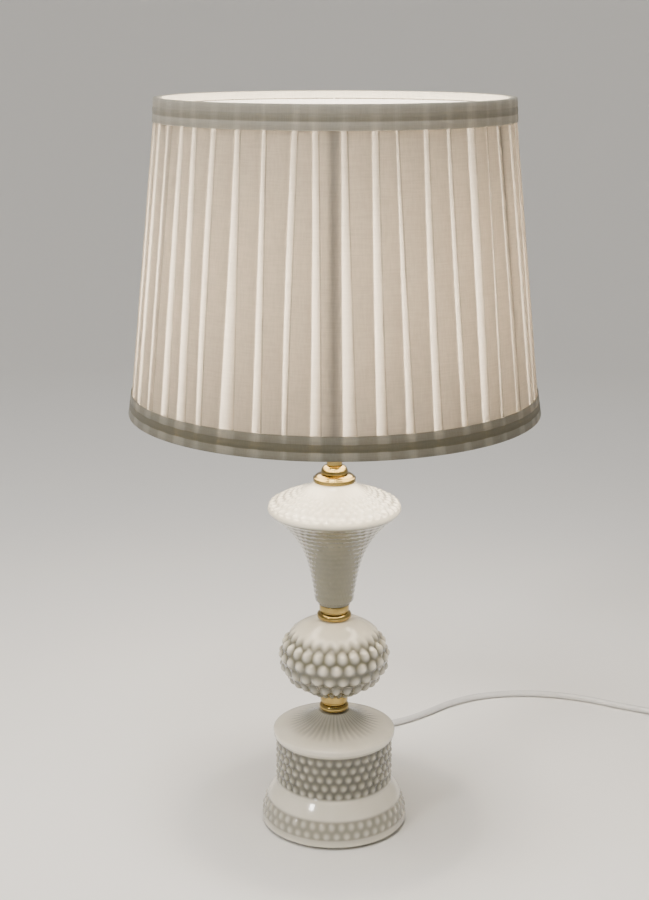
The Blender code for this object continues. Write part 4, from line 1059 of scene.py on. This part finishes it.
def make_plug():
    """The two-pin plug: a ribbed sleeve, a body that widens to its face, and two round pins."""
    frame_at = Matrix.Translation(PLUG_START) @ Matrix.Rotation(PLUG_HEADING, 4, "Z")
    upright = Matrix.Rotation(radians(90), 4, "Y")
    sleeve = [(3.3 * MM, 0.3 * MM)] + ribbed(3.9 * MM, 5.2 * MM, 0.4 * MM, SLEEVE_LENGTH, 5)
    lathe("plug_boot", sleeve, "grey_rubber", "root", "plug_sleeve", inner=[(3.2 * MM, SLEEVE_LENGTH)],
          sides=48, matrix=frame_at @ upright)
    start = SLEEVE_LENGTH + 0.6 * MM
    sections = []
    for x, width, height in PLUG_SECTIONS:
        loop = rounded_loop(height * MM, width * MM, 4.2 * MM if x < 33 else 3.4 * MM, 0)
        sections.append([Vector((start + x * MM, p.y, -p.x)) for p in loop])
    loft("plug_shell", moved(sections, frame_at), "switch_plastic", "root", "plug_body")
    pin = [(0, 0), (2 * MM, 0), (2 * MM, 17.4 * MM)]
    pin += arc((0.6 * MM, 17.6 * MM), 1.4 * MM, 0, 90, 6) + [(0, 19 * MM)]
    for name, node, side in (("pin_left", "plug_pin_left", 1), ("pin_right", "plug_pin_right", -1)):
        at = Matrix.Translation((start + PLUG_LENGTH + 0.3 * MM, side * PIN_SPREAD, 0))
        lathe(name, pin, "steel", "root", node, sides=32, matrix=frame_at @ at @ upright)


def ribbed(start_r, end_r, start, end, count):
    """A taper cut by round grooves, from start to end."""
    points = []
    steps = 10 * count
    for i in range(steps + 1):
        t = i / steps
        groove = 0.5 * MM * max(0.0, cos(TAU * count * t)) ** 2 if 0.05 < t < 0.95 else 0
        points.append((start_r + (end_r - start_r) * t - groove, start + (end - start) * t))
    return points


def make_relief():
    """The tapered, grooved strain relief in the foot's wall."""
    low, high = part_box("strain_relief")
    barrel_r, flange_r, flange_t, taper_length = 4.3 * MM, high.x, 2.0 * MM, 25 * MM
    length = high.y - low.y
    barrel = length - taper_length - flange_t
    outline = [(3.5 * MM, 0), (barrel_r, 0), (barrel_r, barrel), (flange_r - 0.4 * MM, barrel)]
    outline += high_corner(flange_r, barrel + flange_t, 0.6 * MM)
    outline += ribbed(flange_r - 1.2 * MM, 3.9 * MM, barrel + flange_t, length - 0.6 * MM, 6)
    outline += [(3.7 * MM, length)]
    exit_z = (low.z + high.z) / 2
    along_y = Matrix.Translation((0, low.y, exit_z)) @ Matrix.Rotation(radians(-90), 4, "X")
    lathe("cord_relief", outline, "grey_rubber", "root", "strain_relief", inner=bore(3.3 * MM, 0, length),
          sides=64, matrix=along_y)


def make_tie():
    """The strap that holds the coil, a flat band round all its turns."""
    low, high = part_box("cord_coil")
    centre = (low + high) / 2
    outer = (high.x - low.x) / 2 + 0.7 * MM
    inner = outer - 0.7 * MM - (COIL_LOW_TURNS + 1) * CORD_D - 0.7 * MM
    top = high.z + 0.7 * MM
    way = heading(pi)
    sections = []
    for thick in (0.0, 0.5 * MM):
        ring = rounded_loop(outer - inner - 2 * thick, top - 0.05 * MM - thick * 1.2, 3.0 * MM, 0)
        sections.append([(p.x + (outer + inner) / 2, p.y + (top + 0.05 * MM) / 2) for p in ring])
    sides = len(sections[0])
    points = []
    half = 4 * MM
    outside, inside = sections
    for section, across in ((outside, -half), (outside, half), (inside, half), (inside, -half)):
        points += [tuple(centre + way * r + Vector((0, across, z - centre.z))) for r, z in section]
    add_piece("coil_strap", points, grid_faces(4, 4, sides), "grey_rubber", "root")


# ---- assembly


def finish_kept_nodes():
    """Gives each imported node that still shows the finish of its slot."""
    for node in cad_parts.values():
        for place in node.material_slots:
            place.material = FINISHES[place.material.name.split(".")[0]].material


def make_stage():
    """A pale floor that curves up far away, soft light from all round and two soft lamps."""
    profile = [(0, 0), (2.0, 0)] + arc((2.0, 1.6), 1.6, -90, 0, 16) + [(3.6, 3.6)]
    mesh = bpy.data.meshes.new("floor")
    edges = [(i, i + 1) for i in range(len(profile) - 1)]
    mesh.from_pydata([(x, 0, z - 0.2 * MM) for x, z in profile], edges, [])
    floor = add_object("floor", mesh)
    sweep = floor.modifiers.new("sweep", "SCREW")
    sweep.steps = sweep.render_steps = 96
    sweep.merge_threshold = 0.1 * MM
    sweep.use_merge_vertices = True
    paint = Finish("floor", FLOOR_COLOUR, 0.6)
    paint.roughen(paint.noise(6, 3), 0.5, 0.7)
    mesh.materials.append(paint.material)
    world = bpy.data.worlds.new("studio")
    world.use_nodes = True
    background = world.node_tree.nodes["Background"]
    background.inputs["Color"].default_value = (0.80, 0.79, 0.77, 1)
    background.inputs["Strength"].default_value = WORLD_STRENGTH
    bpy.context.scene.world = world
    for name, place, size, watts in STUDIO_LAMPS:
        data = bpy.data.lights.new(name, "AREA")
        data.size = size
        data.energy = watts
        data.color = (1.0, 0.97, 0.93)
        lamp = add_object(name, data)
        lamp.location = place
        aim = Vector((0, 0, 0.3)) - Vector(place)
        lamp.rotation_euler = aim.to_track_quat("-Z", "Y").to_euler()


finish_kept_nodes()
make_base()
FELT = make_felt()
make_ball()
make_trumpet()
make_collar("lower_brass_collar", "lower_collar", 7 * MM, 11.8 * MM)
make_collar("upper_brass_collar", "upper_collar", 6 * MM, 12.7 * MM)
make_caps()
make_holder()
make_bulb()
make_shade_wires()
make_shade_ring()
COVER = make_cover()
LINING = make_lining()
TRIMS = [make_trim("top_ribbon", "top_trim", True), make_trim("bottom_ribbon", "bottom_trim", False)]
make_relief()
make_switch()
make_plug()
make_tie()
make_stage()
